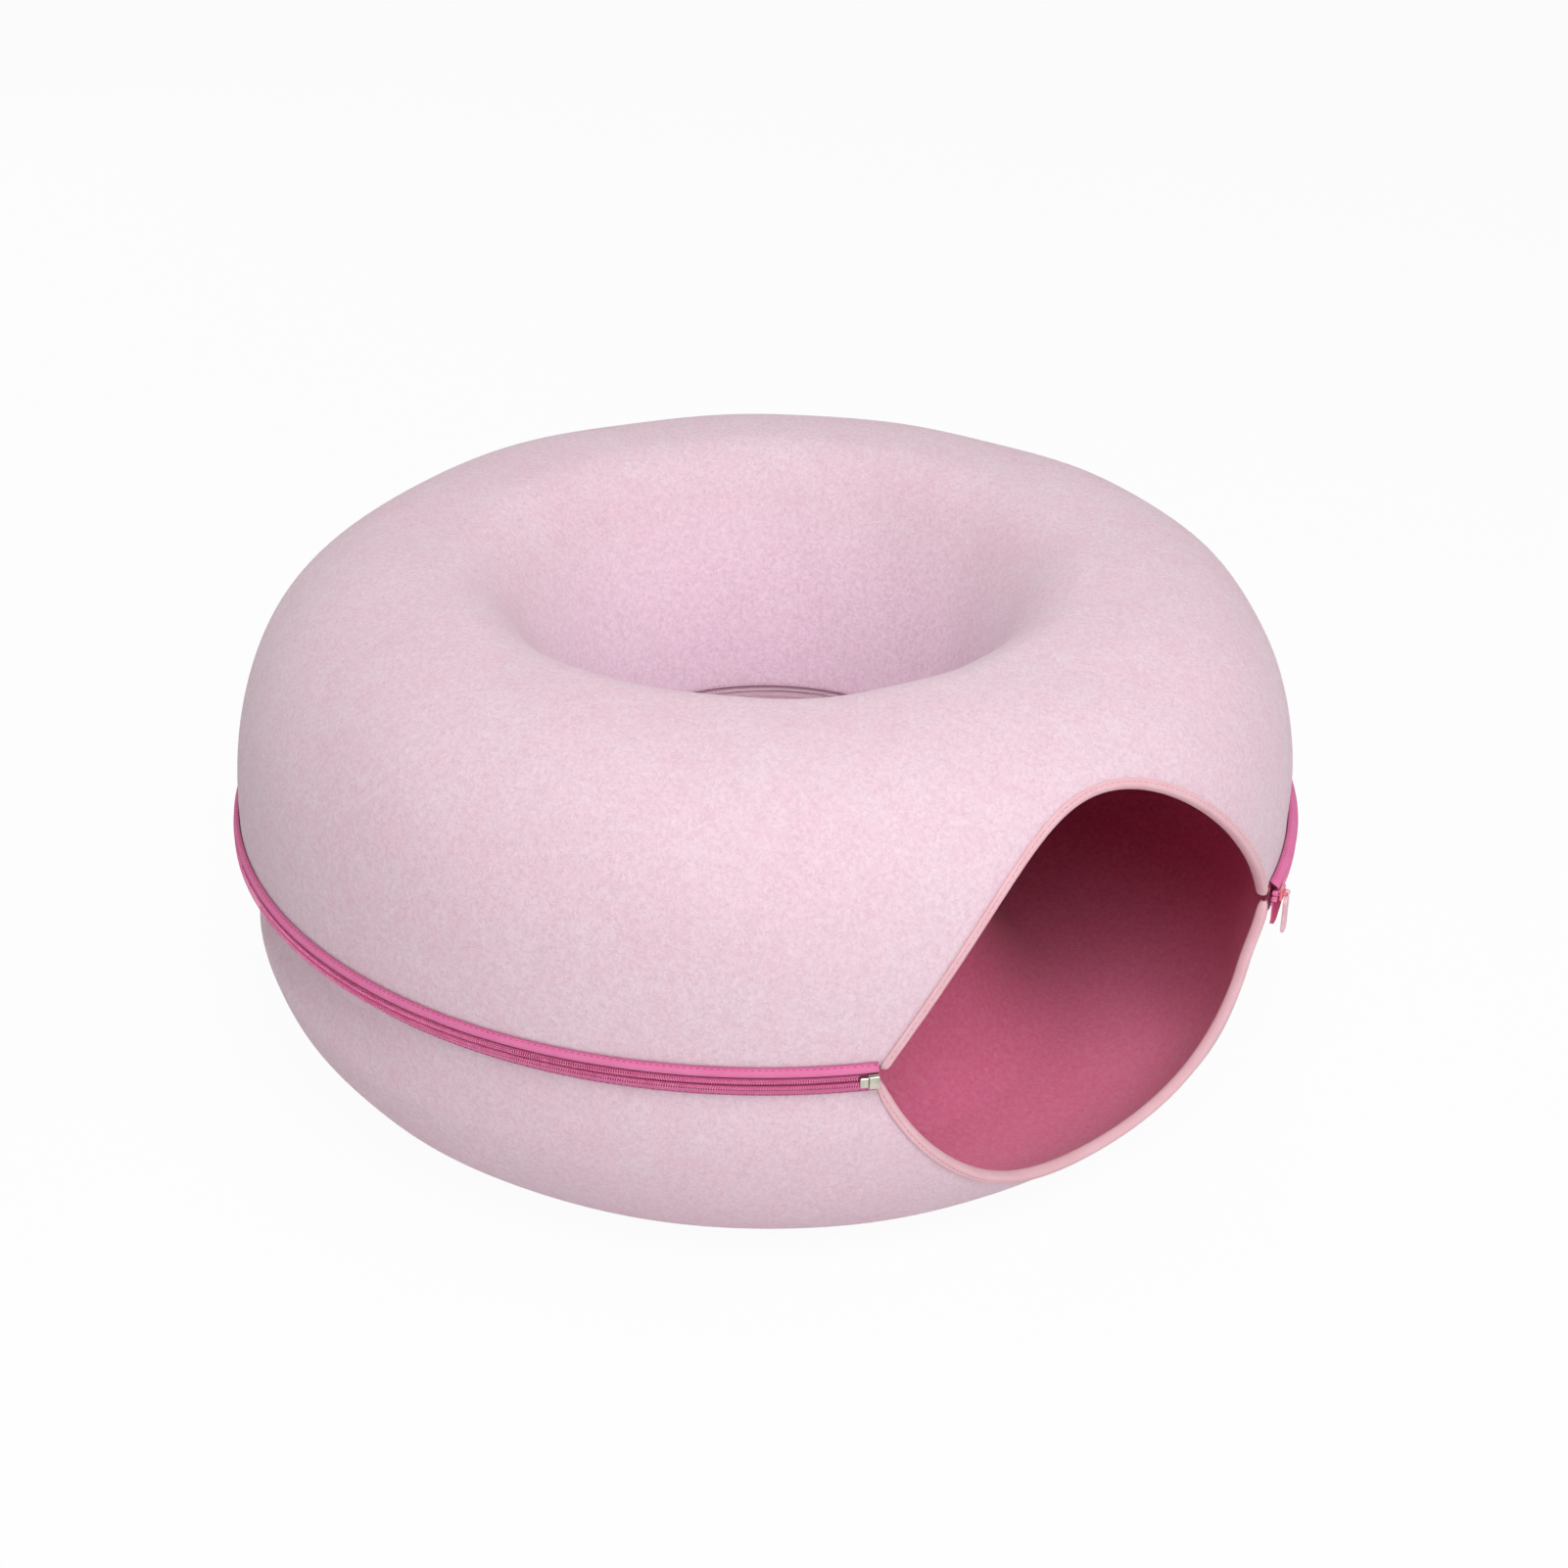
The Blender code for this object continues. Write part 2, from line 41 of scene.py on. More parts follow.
# the ring that every piece follows, in metres, as the CAD has it
ring = {
    "rimRadius": 0.2935, "crestRadius": 0.177, "wellRadius": 0.107,
    "halfHeight": 0.140, "seamHeight": 0.1385,
    "rimFullness": 2.56, "wellFullness": 1.92,
    "feltWall": 0.004,
    "feltEdge": 0.0055,     # felt stops this far from the seam
}
entranceDegrees = -45.0
entrance = {
    "azimuth": math.radians(entranceDegrees),
    "halfWidth": 0.1315,
    "rise": {1: 0.1105, -1: 0.1035},        # upper half, lower half
    "fullness": {1: 1.04, -1: 1.38},
    "sliderGap": 0.0042,    # from the entrance to the zip's two ends
    "boxGap": 0.0003,
}


# meshes from arrays

noFans = np.zeros((0, 4), int)


def newObject(name, data):
    thing = bpy.data.objects.new(name, data)
    bpy.context.scene.collection.objects.link(thing)
    return thing


def signedVolume(points, quads):
    # a sixth of the sum of a . (b x c) over both triangles of each quad
    a, b, c, d = (points[quads[:, k]] for k in range(4))
    return (a * (np.cross(b, c) + np.cross(c, d))).sum() / 6.0


def meshObject(name, points, quads, fans=noFans, uvs=None, inside=None):
    # points (n, 3), quads (m, 4), fans (k, 4) of triangles with their last corner twice, uvs (m, 4, 2) by
    # the quads' corners, inside (n,) by point; faces that look inward are turned round
    if signedVolume(points, np.vstack([quads, fans])) < 0:
        quads, fans = quads[:, ::-1], fans[:, [0, 2, 1, 1]]
        uvs = None if uvs is None else uvs[:, ::-1]
    corners = np.append(quads.ravel(), fans[:, :3].ravel())
    starts = np.append(4 * np.arange(len(quads)), quads.size + 3 * np.arange(len(fans)))
    mesh = bpy.data.meshes.new(name)
    mesh.vertices.add(len(points))
    mesh.vertices.foreach_set("co", points.astype(np.float32).ravel())
    mesh.loops.add(len(corners))
    mesh.loops.foreach_set("vertex_index", corners.astype(np.int32))
    mesh.polygons.add(len(starts))
    mesh.polygons.foreach_set("loop_start", starts.astype(np.int32))
    mesh.update(calc_edges=True)
    if uvs is not None:
        layer = mesh.uv_layers.new(name="along")
        layer.data.foreach_set("uv", np.append(uvs.ravel(), np.zeros(6 * len(fans))).astype(np.float32))
    if inside is not None:
        mesh.attributes.new("inside", "FLOAT", "POINT").data.foreach_set("value", inside.astype(np.float32).ravel())
    mesh.validate()
    mesh.shade_smooth()
    return newObject(name, mesh)


def gridQuads(rows, columns, wrapRows=False, wrapColumns=False):
    # corner indices of every cell, and the same without the wrap for uvs
    i, j = np.indices((rows - (not wrapRows), columns - (not wrapColumns))).reshape(2, -1)
    corners = [(i, j), (i + 1, j), (i + 1, j + 1), (i, j + 1)]
    quads = np.stack([(a % rows) * columns + b % columns for a, b in corners], 1)
    return quads, np.array(corners).transpose(2, 0, 1)


def endFans(rows, columns):
    # triangles that draw a tube's two end rings to their middles, the two points after the grid's own
    ends = np.arange(columns)
    following = (ends + 1) % columns
    count, last = rows * columns, (rows - 1) * columns
    return np.vstack([together(count, ends, following, following),
                      together(count + 1, last + following, last + ends, last + ends)])


def tubeObject(name, points, along, across):
    # rings (rows, columns, 3) with closed ends; along (rows) and across (columns + 1) are uvs in metres
    rows, columns = points.shape[:2]
    quads, plain = gridQuads(rows, columns, wrapColumns=True)
    uvs = np.stack([along[plain[..., 0]], across[plain[..., 1]]], -1)
    flat = np.vstack([points.reshape(-1, 3), points[[0, -1]].mean(1)])
    return meshObject(name, flat, quads, endFans(rows, columns), uvs)


def smoothStep(x, low, high):
    # 0 below low, 1 above high, and t^2 (3 - 2t) between
    t = np.clip((x - low) / (high - low), 0.0, 1.0)
    return t * t * (3.0 - 2.0 * t)


def signedPower(x, power):
    # sign(x) |x|^power, which squares a circle's cos and sin
    return np.sign(x) * np.abs(x) ** power


def unit(vectors):
    return vectors / np.linalg.norm(vectors, axis=-1, keepdims=True)


def together(*parts):
    # coordinates of different shapes stretched to one and stacked
    return np.stack(np.broadcast_arrays(*parts), -1)


def circle(steps):
    return np.linspace(0.0, math.tau, steps + 1)[:-1]


def spun(points, angle):
    # turned about Z by angle: x cos - y sin, x sin + y cos
    c, s = math.cos(angle), math.sin(angle)
    x, y, z = points[..., 0], points[..., 1], points[..., 2]
    return np.stack([x * c - y * s, x * s + y * c, z], -1)


def placed(radius, azimuth, height):
    # cylinder to plain: (r cos a, r sin a, seam + h)
    return together(radius * np.cos(azimuth), radius * np.sin(azimuth), ring["seamHeight"] + height)


# stitches and coils are thread, tubes of six sides closed by two quads at each end

thread = {
    "sides": 6,
    "cap": np.array([[0, 1, 2, 3], [0, 3, 4, 5]]),
    "ringAt": np.array([0.0, 0.12, 0.5, 0.88, 1.0]),        # of a stitch: places along it, and radii
    "ringSize": np.array([0.25, 0.8, 1.0, 0.8, 0.25]),
    "steep": 0.6,
}


def threadTurns(first, second):
    # directions round a thread: first cos + second sin
    turn = circle(thread["sides"])[:, None]
    return np.cos(turn) * first[..., None, :] + np.sin(turn) * second[..., None, :]


def threadCells(rows, count):
    # cells of count tubes that follow each other, each with its caps
    quads, _ = gridQuads(rows, thread["sides"], wrapColumns=True)
    cell = np.vstack([quads, thread["cap"], thread["cap"][:, ::-1] + (rows - 1) * thread["sides"]])
    return (cell[None] + (np.arange(count) * rows * thread["sides"])[:, None, None]).reshape(-1, 4)


def makeStitches(name, starts, ends, ups, thick, *look):
    # a short thread from each start to each end: rings of radius thick ringSize about
    # start + (end - start) t + up thick (1 - steep (2t - 1)^2)
    t = thread["ringAt"]
    width = thread["ringSize"] * thick
    lift = thick * (1.0 - thread["steep"] * (2.0 * t - 1.0) ** 2)
    along = ends - starts
    side = unit(np.cross(unit(along), ups))
    centre = starts[:, None] + along[:, None] * t[:, None] + ups[:, None] * lift[:, None]
    points = centre[:, :, None] + threadTurns(side, ups)[:, None] * width[:, None, None]
    finish(meshObject(name, points.reshape(-1, 3), threadCells(len(t), len(starts))), *look)


# shader helpers

def node(tree, kind, values=None, **settings):
    made = tree.nodes.new(kind)
    for key, value in settings.items():
        setattr(made, key, value)
    for key, value in (values or {}).items():
        socket = made.inputs[key]
        if isinstance(value, bpy.types.NodeSocket):
            tree.links.new(value, socket)
        else:
            socket.default_value = value
    return made


def linear(r, g, b):
    # screen colour 0-255 to linear: ((c + 0.055) / 1.055)^2.4
    channels = [c / 255.0 for c in (r, g, b)]
    return tuple(c / 12.92 if c <= 0.04045 else ((c + 0.055) / 1.055) ** 2.4 for c in channels) + (1.0,)


def newGroup(name, inputs, outputs):
    group = bpy.data.node_groups.new(name, "ShaderNodeTree")
    for way, labels in (("INPUT", inputs), ("OUTPUT", outputs)):
        for label in labels:
            kind = "NodeSocketVector" if label == "Vector" else "NodeSocketFloat"
            group.interface.new_socket(label, in_out=way, socket_type=kind)
    return group, group.nodes.new("NodeGroupInput").outputs, group.nodes.new("NodeGroupOutput").inputs


def useGroup(tree, group, values):
    return node(tree, "ShaderNodeGroup", values, node_tree=group).outputs


def mixColours(tree, factor, a, b):
    return node(tree, "ShaderNodeMix", {0: factor, 6: a, 7: b}, data_type="RGBA").outputs[2]


def maths(tree, operation, *values):
    return node(tree, "ShaderNodeMath", dict(enumerate(values)), operation=operation).outputs[0]


def weighted(tree, a, shareA, b, shareB):
    # a shareA + b shareB
    return maths(tree, "ADD", maths(tree, "MULTIPLY", a, shareA), maths(tree, "MULTIPLY", b, shareB))


def spread(tree, value, low, high, bottom=0.0, top=1.0):
    # low..high brought to bottom..top, held at both ends
    return node(tree, "ShaderNodeMapRange", {"Value": value, "From Min": low, "From Max": high,
                                             "To Min": bottom, "To Max": top}, clamp=True).outputs[0]


def noise(tree, vector, scale, detail=2.0, rough=0.5, distortion=0.0):
    return node(tree, "ShaderNodeTexNoise", {"Vector": vector, "Scale": scale, "Detail": detail,
                                             "Roughness": rough, "Distortion": distortion}).outputs["Fac"]


def objectPlace(tree):
    return node(tree, "ShaderNodeTexCoord").outputs["Object"]


def pieceAxes(tree):
    # how far along and across a piece, from its own uv in metres
    uv = node(tree, "ShaderNodeUVMap", uv_map="along").outputs[0]
    return node(tree, "ShaderNodeSeparateXYZ", {0: uv}).outputs


def makeFibreGroup():
    # pressed wool: blotches of dye, clumps of fibre and single hairs, with their relief
    group, given, out = newGroup("pressedFibre", ("Vector", "Blotch", "Patch", "Clump", "Hair"),
                                 ("Blotch", "Patch", "Clump", "Hair", "Height"))
    vector = given["Vector"]
    stretched = node(group, "ShaderNodeVectorMath", {0: vector, 1: (1.0, 0.45, 0.7)}, operation="MULTIPLY")
    layers = {}
    # each layer's detail, roughness and distortion, and the noise brought to 0 and to 1
    for label, at, detail, rough, distortion, low, high in (
            ("Blotch", vector, 3.0, 0.6, 0.3, 0.32, 0.70),
            ("Patch", vector, 4.0, 0.65, 0.5, 0.34, 0.68),
            ("Clump", vector, 2.0, 0.6, 0.8, 0.36, 0.66),
            ("Hair", stretched.outputs[0], 2.0, 0.6, 1.6, 0.34, 0.68)):
        layers[label] = noise(group, at, given[label], detail, rough, distortion)
        group.links.new(spread(group, layers[label], low, high), out[label])
    group.links.new(weighted(group, layers["Clump"], 0.7, layers["Hair"], 0.4), out["Height"])
    return group


def makeWeaveGroup():
    # twill: yarn = |sin(pi (u + slant v) / warp)| (0.5 + 0.5 |sin(pi v / weft)|), and a patchy fade
    group, given, out = newGroup("twillWeave", ("Warp", "Weft", "Slant"), ("Yarn", "Fade"))
    axes = pieceAxes(group)
    leaned = maths(group, "ADD", axes[0], maths(group, "MULTIPLY", axes[1], given["Slant"]))

    def ridges(place, pitch):
        turns = maths(group, "DIVIDE", maths(group, "MULTIPLY", place, math.pi), pitch)
        return maths(group, "ABSOLUTE", maths(group, "SINE", turns))

    weft = maths(group, "ADD", maths(group, "MULTIPLY", ridges(axes[1], given["Weft"]), 0.5), 0.5)
    group.links.new(maths(group, "MULTIPLY", ridges(leaned, given["Warp"]), weft), out["Yarn"])
    fade = noise(group, objectPlace(group), 70.0, 3.0, 0.6)
    group.links.new(spread(group, fade, 0.3, 0.7), out["Fade"])
    return group


def makeHandledGroup():
    # rubbed and dusty finish of small hard parts
    group, given, out = newGroup("handled", ("Vector", "Scale"), ("Rub", "Grain"))
    rub = noise(group, given["Vector"], given["Scale"], 4.0, 0.6, 0.4)
    group.links.new(spread(group, rub, 0.35, 0.7), out["Rub"])
    group.links.new(noise(group, given["Vector"], 4200.0), out["Grain"])
    return group


fibreGroup = makeFibreGroup()
weaveGroup = makeWeaveGroup()
handledGroup = makeHandledGroup()


def newMaterial(name, values):
    material = bpy.data.materials.new(name)
    material.use_nodes = True
    shader = material.node_tree.nodes["Principled BSDF"]
    for key, value in values.items():
        shader.inputs[key].default_value = value
    return material, material.node_tree, shader


def bumped(tree, shader, height, strength, distance):
    bump = node(tree, "ShaderNodeBump", {"Strength": strength, "Distance": distance, "Height": height})
    tree.links.new(bump.outputs[0], shader.inputs["Normal"])


# materials

feltLook = {
    "pale": (238, 214, 225),
    "pink": (238, 190, 207),
    "well": (255, 224, 244),
    "speck": (203, 158, 177),
    "white": (250, 236, 241),
    "inside": (240, 124, 164),
    "insidePale": (246, 148, 184),
    "wellReach": (0.108, 0.138),
    "dyeShares": (0.30, 0.45),      # of the blotches and of the patches
    "speckShare": 0.42,
    "hairShare": 0.40,
    "grain": {"Blotch": 14.0, "Patch": 75.0, "Clump": 420.0, "Hair": 1100.0},
    "bump": (0.7, 0.0007),
    "surface": {"Roughness": 0.95, "Specular IOR Level": 0.15, "Sheen Weight": 0.18, "Sheen Roughness": 0.6},
}
wovenBump = 0.00025
hardLook = {"scale": 240.0, "rubbedRougher": 0.16, "bump": 0.00006}


def makeFelt():
    material, tree, shader = newMaterial("pinkFelt", feltLook["surface"])
    place = objectPlace(tree)
    fibres = useGroup(tree, fibreGroup, {"Vector": place, **feltLook["grain"]})

    def colour(name):
        return linear(*feltLook[name])

    blotches, patches = feltLook["dyeShares"]
    dyed = weighted(tree, fibres["Blotch"], blotches, fibres["Patch"], patches)
    outer = mixColours(tree, dyed, colour("pale"), colour("pink"))
    # light thrown from wall to wall makes the well pinker, by the distance from the axis, (x^2 + y^2)^0.5
    axes = node(tree, "ShaderNodeSeparateXYZ", {0: place}).outputs
    reach = maths(tree, "POWER", weighted(tree, axes[0], axes[0], axes[1], axes[1]), 0.5)
    outer = mixColours(tree, spread(tree, reach, *feltLook["wellReach"], 1.0, 0.0), outer, colour("well"))
    for layer, share, name in (("Clump", "speckShare", "speck"), ("Hair", "hairShare", "white")):
        outer = mixColours(tree, maths(tree, "MULTIPLY", fibres[layer], feltLook[share]), outer, colour(name))
    inner = mixColours(tree, fibres["Clump"], colour("inside"), colour("insidePale"))
    mark = node(tree, "ShaderNodeAttribute", attribute_name="inside").outputs["Fac"]
    tree.links.new(mixColours(tree, mark, outer, inner), shader.inputs["Base Color"])
    bumped(tree, shader, fibres["Height"], *feltLook["bump"])
    return material


def makeWoven(name, colour, deep, warp, weft, slant, strength, rough, sheen, paintedLines, paintedLineColour):
    # lines tinted along the piece's length, each (place across the piece, half width, depth of tint): painted shade
    # in the grooves, gaps and edges of the binding and the zip tapes, and a pale line by the loose tape end's edge
    material, tree, shader = newMaterial(name, {"Roughness": rough, "Specular IOR Level": 0.3,
                                                "Sheen Weight": sheen, "Sheen Roughness": 0.4})
    weave = useGroup(tree, weaveGroup, {"Warp": warp, "Weft": weft, "Slant": slant})
    shade = weighted(tree, weave["Yarn"], 0.75, weave["Fade"], 0.25)
    shown = mixColours(tree, shade, linear(*deep), linear(*colour))
    across = pieceAxes(tree)[1]
    for middle, half, tint in paintedLines:
        away = maths(tree, "ABSOLUTE", maths(tree, "SUBTRACT", across, middle))
        shown = mixColours(tree, spread(tree, away, half * 0.4, half, tint, 0.0), shown, linear(*paintedLineColour))
    tree.links.new(shown, shader.inputs["Base Color"])
    bumped(tree, shader, weave["Yarn"], strength, wovenBump)
    return material


def makeHard(name, colour, rubbed, rough, metallic=0.0, grain=0.5, specular=0.5):
    material, tree, shader = newMaterial(name, {"Metallic": metallic, "Specular IOR Level": specular})
    handled = useGroup(tree, handledGroup, {"Vector": objectPlace(tree), "Scale": hardLook["scale"]})
    tree.links.new(mixColours(tree, handled["Rub"], linear(*colour), linear(*rubbed)),
                   shader.inputs["Base Color"])
    tree.links.new(spread(tree, handled["Rub"], 0.0, 1.0, rough, rough + hardLook["rubbedRougher"]),
                   shader.inputs["Roughness"])
    bumped(tree, shader, handled["Grain"], grain, hardLook["bump"])
    return material


zipWeave = {"warp": 0.0006, "weft": 0.0007, "slant": 0.8, "strength": 0.6, "rough": 0.75}
finishes = {
    "felt": makeFelt(),
    # painted shade along the binding's edge on the felt and in its stitched groove
    "binding": makeWoven("roseBinding", (246, 210, 217), (230, 168, 178), warp=0.0007, weft=0.0012, slant=0.15,
                         strength=0.5, rough=0.85, sheen=0.25,
                         paintedLines=((0.0, 0.0006, 0.8), (0.0022, 0.0005, 0.7)), paintedLineColour=(180, 102, 120)),
    "thread": makeHard("roseThread", (214, 140, 154), (196, 112, 130), 0.7, specular=0.2),
    # painted shade in the gap between the two coils, by the coil's root and under the felt's edge
    "tape": makeWoven("pinkTape", (240, 146, 190), (222, 96, 154), **zipWeave, sheen=0.03,
                      paintedLines=((0.0004, 0.0012, 0.95), (0.0036, 0.0009, 0.9), (0.0090, 0.0006, 0.35)),
                      paintedLineColour=(104, 0, 40)),
    "tapeThread": makeHard("tapeThread", (226, 92, 150), (196, 62, 120), 0.7, specular=0.2),
    "coil": makeHard("coilNylon", (252, 150, 196), (240, 116, 174), 0.42, grain=0.15, specular=0.25),
    # the well's zip is the felt's pale pink, painted lighter still as painted light against the shade of the groove
    # it sits in, with faint painted shade lines by the coil's root and the felt's edge
    "wellTape": makeWoven("paleTape", (255, 232, 242), (248, 214, 228), **zipWeave, sheen=0.2,
                          paintedLines=((0.0034, 0.0006, 0.4), (0.0090, 0.0005, 0.3)), paintedLineColour=(214, 160, 182)),
    "wellThread": makeHard("paleThread", (242, 204, 218), (228, 184, 202), 0.7, specular=0.2),
    "wellCoil": makeHard("paleNylon", (255, 232, 242), (248, 216, 230), 0.42, grain=0.15, specular=0.4),
    "slider": makeHard("roseEnamel", (244, 138, 152), (228, 110, 128), 0.34, grain=0.1),
    "pull": makeHard("paleEnamel", (240, 198, 206), (230, 176, 188), 0.36, grain=0.1),
    "tail": makeWoven("hotPinkTape", (236, 84, 146), (206, 42, 104), **zipWeave, sheen=0.2,
                      paintedLines=((0.0080, 0.0006, 0.5),), paintedLineColour=(250, 170, 200)),
    "retainer": makeHard("platedMetal", (214, 210, 198), (186, 180, 168), 0.3, metallic=1.0, grain=0.1),
}
print("materials made:", len(finishes))


def finish(piece, look, body, slot, *nodes):
    piece.data.materials.clear()
    piece.data.materials.append(finishes[look])
    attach(piece, body)
    if nodes:
        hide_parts(*nodes)


# felt halves

felt = {
    "rimRows": 56, "wellRows": 34, "backColumns": 250, "archColumns": 132,
    "lip": 0.0013, "lipRows": 6,    # the rounded edges
    "insideFrom": 4,            # row of a lip at which the deeper pink starts
    "wave": 0.0007,             # soft unevenness of the pressed felt
    "flatFrom": 0.126,          # none of it below here, where the lower half rests on the floor
    "flatOver": 0.02,
    "pinch": 0.36,              # share of the wall that the sewing presses out at an edge
    "pinchReach": (0.001, 0.014),
    # where soft felt is drawn in: how far, the middle and spread round the ring in degrees, and the
    # distances from the seam over which it comes and goes
    "under": {"depth": 0.0030, "at": (-19.0, 20.0), "less": 0.8, "out": (0.010, 0.045)},
    "tuck": {"depth": 0.011, "at": (-163.0, 40.0), "in": (0.007, 0.022), "out": (0.036, 0.060)},
    "hollow": {"depth": 0.011, "at": (-2.0, 16.0), "in": (0.006, 0.035), "out": (0.06, 0.12)},
    "over": {"depth": 0.002, "at": (-3.0, 16.0), "out": (0.010, 0.045)},
}


def ovalReach(part):
    return ring[part + "Radius"] - ring["crestRadius"]


def ovalNormal(x, y, part):
    # unit vector along (x^(p-1) / reach, y^(p-1) / height), at shares x and y of the reach and height
    p = ring[part + "Fullness"]
    return unit(together(x ** (p - 1.0) / ovalReach(part), y ** (p - 1.0) / ring["halfHeight"]))


def ovalPoint(angle, part):
    # quarter superellipse: r = crest +- reach cos^(2/p), h = height sin^(2/p), and its unit normal
    p = ring[part + "Fullness"]
    x, y = np.clip(np.cos(angle), 0.0, 1.0) ** (2.0 / p), np.sin(angle) ** (2.0 / p)
    return ring["crestRadius"] + ovalReach(part) * x, ring["halfHeight"] * y, ovalNormal(x, y, part)


def ovalAngle(height, part):
    return np.arcsin(np.clip(height / ring["halfHeight"], 0.0, 1.0) ** (ring[part + "Fullness"] / 2.0))


def rimRadius(height):
    # r = crest + reach (1 - (h/H)^p)^(1/p)
    p = ring["rimFullness"]
    share = 1.0 - np.clip(np.abs(height) / ring["halfHeight"], 0.0, 1.0) ** p
    return ring["crestRadius"] + ovalReach("rim") * share ** (1.0 / p)


def nearTo(azimuth, middle, reach):
    # exp(-(turn / reach)^2), with the turn from the middle in degrees taken the short way
    turn = (np.degrees(azimuth) - middle + 180.0) % 360.0 - 180.0
    return np.exp(-(turn / reach) ** 2)


def leanIn(height, azimuth):
    # how far soft felt is drawn in: a little all round under the zip, less by the slider, a tuck under it
    # at the left, a hollow below and beyond the slider, and a little above the slider
    away = np.abs(height)

    def drawn(name):
        # depth near(azimuth) in(away) (1 - out(away)), with 1 - less near(azimuth) for the one all round
        part = felt[name]
        near = nearTo(azimuth, *part["at"])
        near = 1.0 - part["less"] * near if "less" in part else near
        begun = smoothStep(away, *part["in"]) if "in" in part else 1.0
        return part["depth"] * near * begun * (1.0 - smoothStep(away, *part["out"]))

    return np.where(height < 0.0, drawn("under") + drawn("tuck") + drawn("hollow"), drawn("over"))


def archOutline(angle, side):
    # s = W cos a, h = rise sin(a)^(2/c)
    rise, c = entrance["rise"][side], entrance["fullness"][side]
    return entrance["halfWidth"] * np.cos(angle), rise * np.clip(np.sin(angle), 0.0, 1.0) ** (2.0 / c)


def feltColumns(side):
    # azimuths from the entrance's middle, and the height where the felt starts at each
    q = np.linspace(0.0, 1.0, felt["archColumns"] // 2 + 1)
    half = math.pi / 2 * q ** 0.62
    across, up = archOutline(np.concatenate([half, (math.pi - half)[-2::-1]]), side)
    up = np.maximum(up, ring["feltEdge"])
    azimuth = np.arcsin(across / rimRadius(up))
    behind = np.linspace(azimuth[0], math.tau - azimuth[0], felt["backColumns"])[1:-1]
    start = np.concatenate([up[::-1], np.full(len(behind), ring["feltEdge"])])
    return np.concatenate([azimuth[::-1], behind]), start


def makeFeltHalf(name, side, body, shell):
    # a closed section turned round the axis: the outer face with its wave, a lip at the well, the inner
    # face, which is the outer less wall times the normal, and a lip at the rim
    azimuth, start = feltColumns(side)
    lip = felt["lip"]
    # rim part from the edge up to the crest
    _, _, edgeNormal = ovalPoint(ovalAngle(start, "rim"), "rim")
    first = ovalAngle(start + lip * edgeNormal[:, 0], "rim")
    t = np.linspace(0.0, 1.0, felt["rimRows"])[:, None] ** 1.25
    r1, h1, n1 = ovalPoint(first[None] + (math.pi / 2 - first[None]) * t, "rim")
    # well part from the crest down to its edge
    low = float(ovalAngle(np.array(ring["feltEdge"] + lip), "well"))
    w = np.linspace(0.0, 1.0, felt["wellRows"] + 1)[1:, None]
    r2, h2, n2 = ovalPoint(math.pi / 2 + (low - math.pi / 2) * w + 0.0 * azimuth[None], "well")
    r, h, n = np.vstack([r1, r2]), np.vstack([h1, h2]), np.concatenate([n1, n2])
    row = np.arange(len(r))[:, None]
    onRim = row < felt["rimRows"]
    # soft unevenness, none near the edges or where the felt rests on the floor
    share = np.concatenate([t[:, 0], np.linspace(1.0, 0.0, felt["wellRows"])])
    fade = np.sin(np.clip(share * 2.2, 0.0, 1.0) * math.pi / 2)[:, None] ** 2
    if side < 0:
        fade = fade * np.clip((felt["flatFrom"] - h) / felt["flatOver"], 0.0, 1.0)
    row = row / len(r)
    wave = (np.sin(3 * azimuth + 5 * row + 1.0 + side) + 0.7 * np.sin(7 * azimuth - 9 * row + 2.0)
            + 0.5 * np.sin(12 * azimuth + 15 * row + 0.5 * side)) * felt["wave"] * fade
    r = r - leanIn(side * h, azimuth[None] + entrance["azimuth"]) * onRim
    outer = np.stack([r, h], -1) + n * wave[..., None]
    # the wall is pressed thinner where an edge is sewn
    edge = np.where(onRim, start[None], ring["feltEdge"])
    pressed = felt["pinch"] * (1.0 - smoothStep(h - edge, *felt["pinchReach"]))
    wall = ring["feltWall"] * (1.0 - pressed)[..., None]
    inner = outer - n * wall

    def lipRows(index, tangent):
        # half an oval from the outer face to the inner: -n wall (1 - cos b) / 2 + tangent lip sin b
        b = np.linspace(0.0, math.pi, felt["lipRows"] + 2)[1:-1][:, None, None]
        base, normal = outer[index][None], n[index][None]
        return base - normal * wall[index][None] * (1 - np.cos(b)) / 2 + tangent[None] * lip * np.sin(b)

    rimTangent, wellTangent = (np.stack([n[k][:, 1], -n[k][:, 0]], -1) for k in (0, -1))
    wellTangent = wellTangent * np.sign(-wellTangent[:, 1:2])
    section = np.concatenate([outer, lipRows(-1, wellTangent), inner[::-1], lipRows(0, rimTangent)[::-1]])
    points = placed(section[..., 0], azimuth[None] + entrance["azimuth"], side * section[..., 1])
    points[..., 2] = np.maximum(points[..., 2], 0.0)
    inside = np.zeros(section.shape[:2])
    inside[len(outer) + felt["insideFrom"]:-felt["insideFrom"]] = 1.0
    quads, _ = gridQuads(*section.shape[:2], wrapRows=True, wrapColumns=True)
    finish(meshObject(name, points.reshape(-1, 3), quads, inside=inside), "felt", body, "felt", shell)


makeFeltHalf("upperFelt", 1, "upper_half", "upper_shell")
makeFeltHalf("lowerFelt", -1, "lower_half", "lower_shell")
print("felt halves made")


# entrance bindings

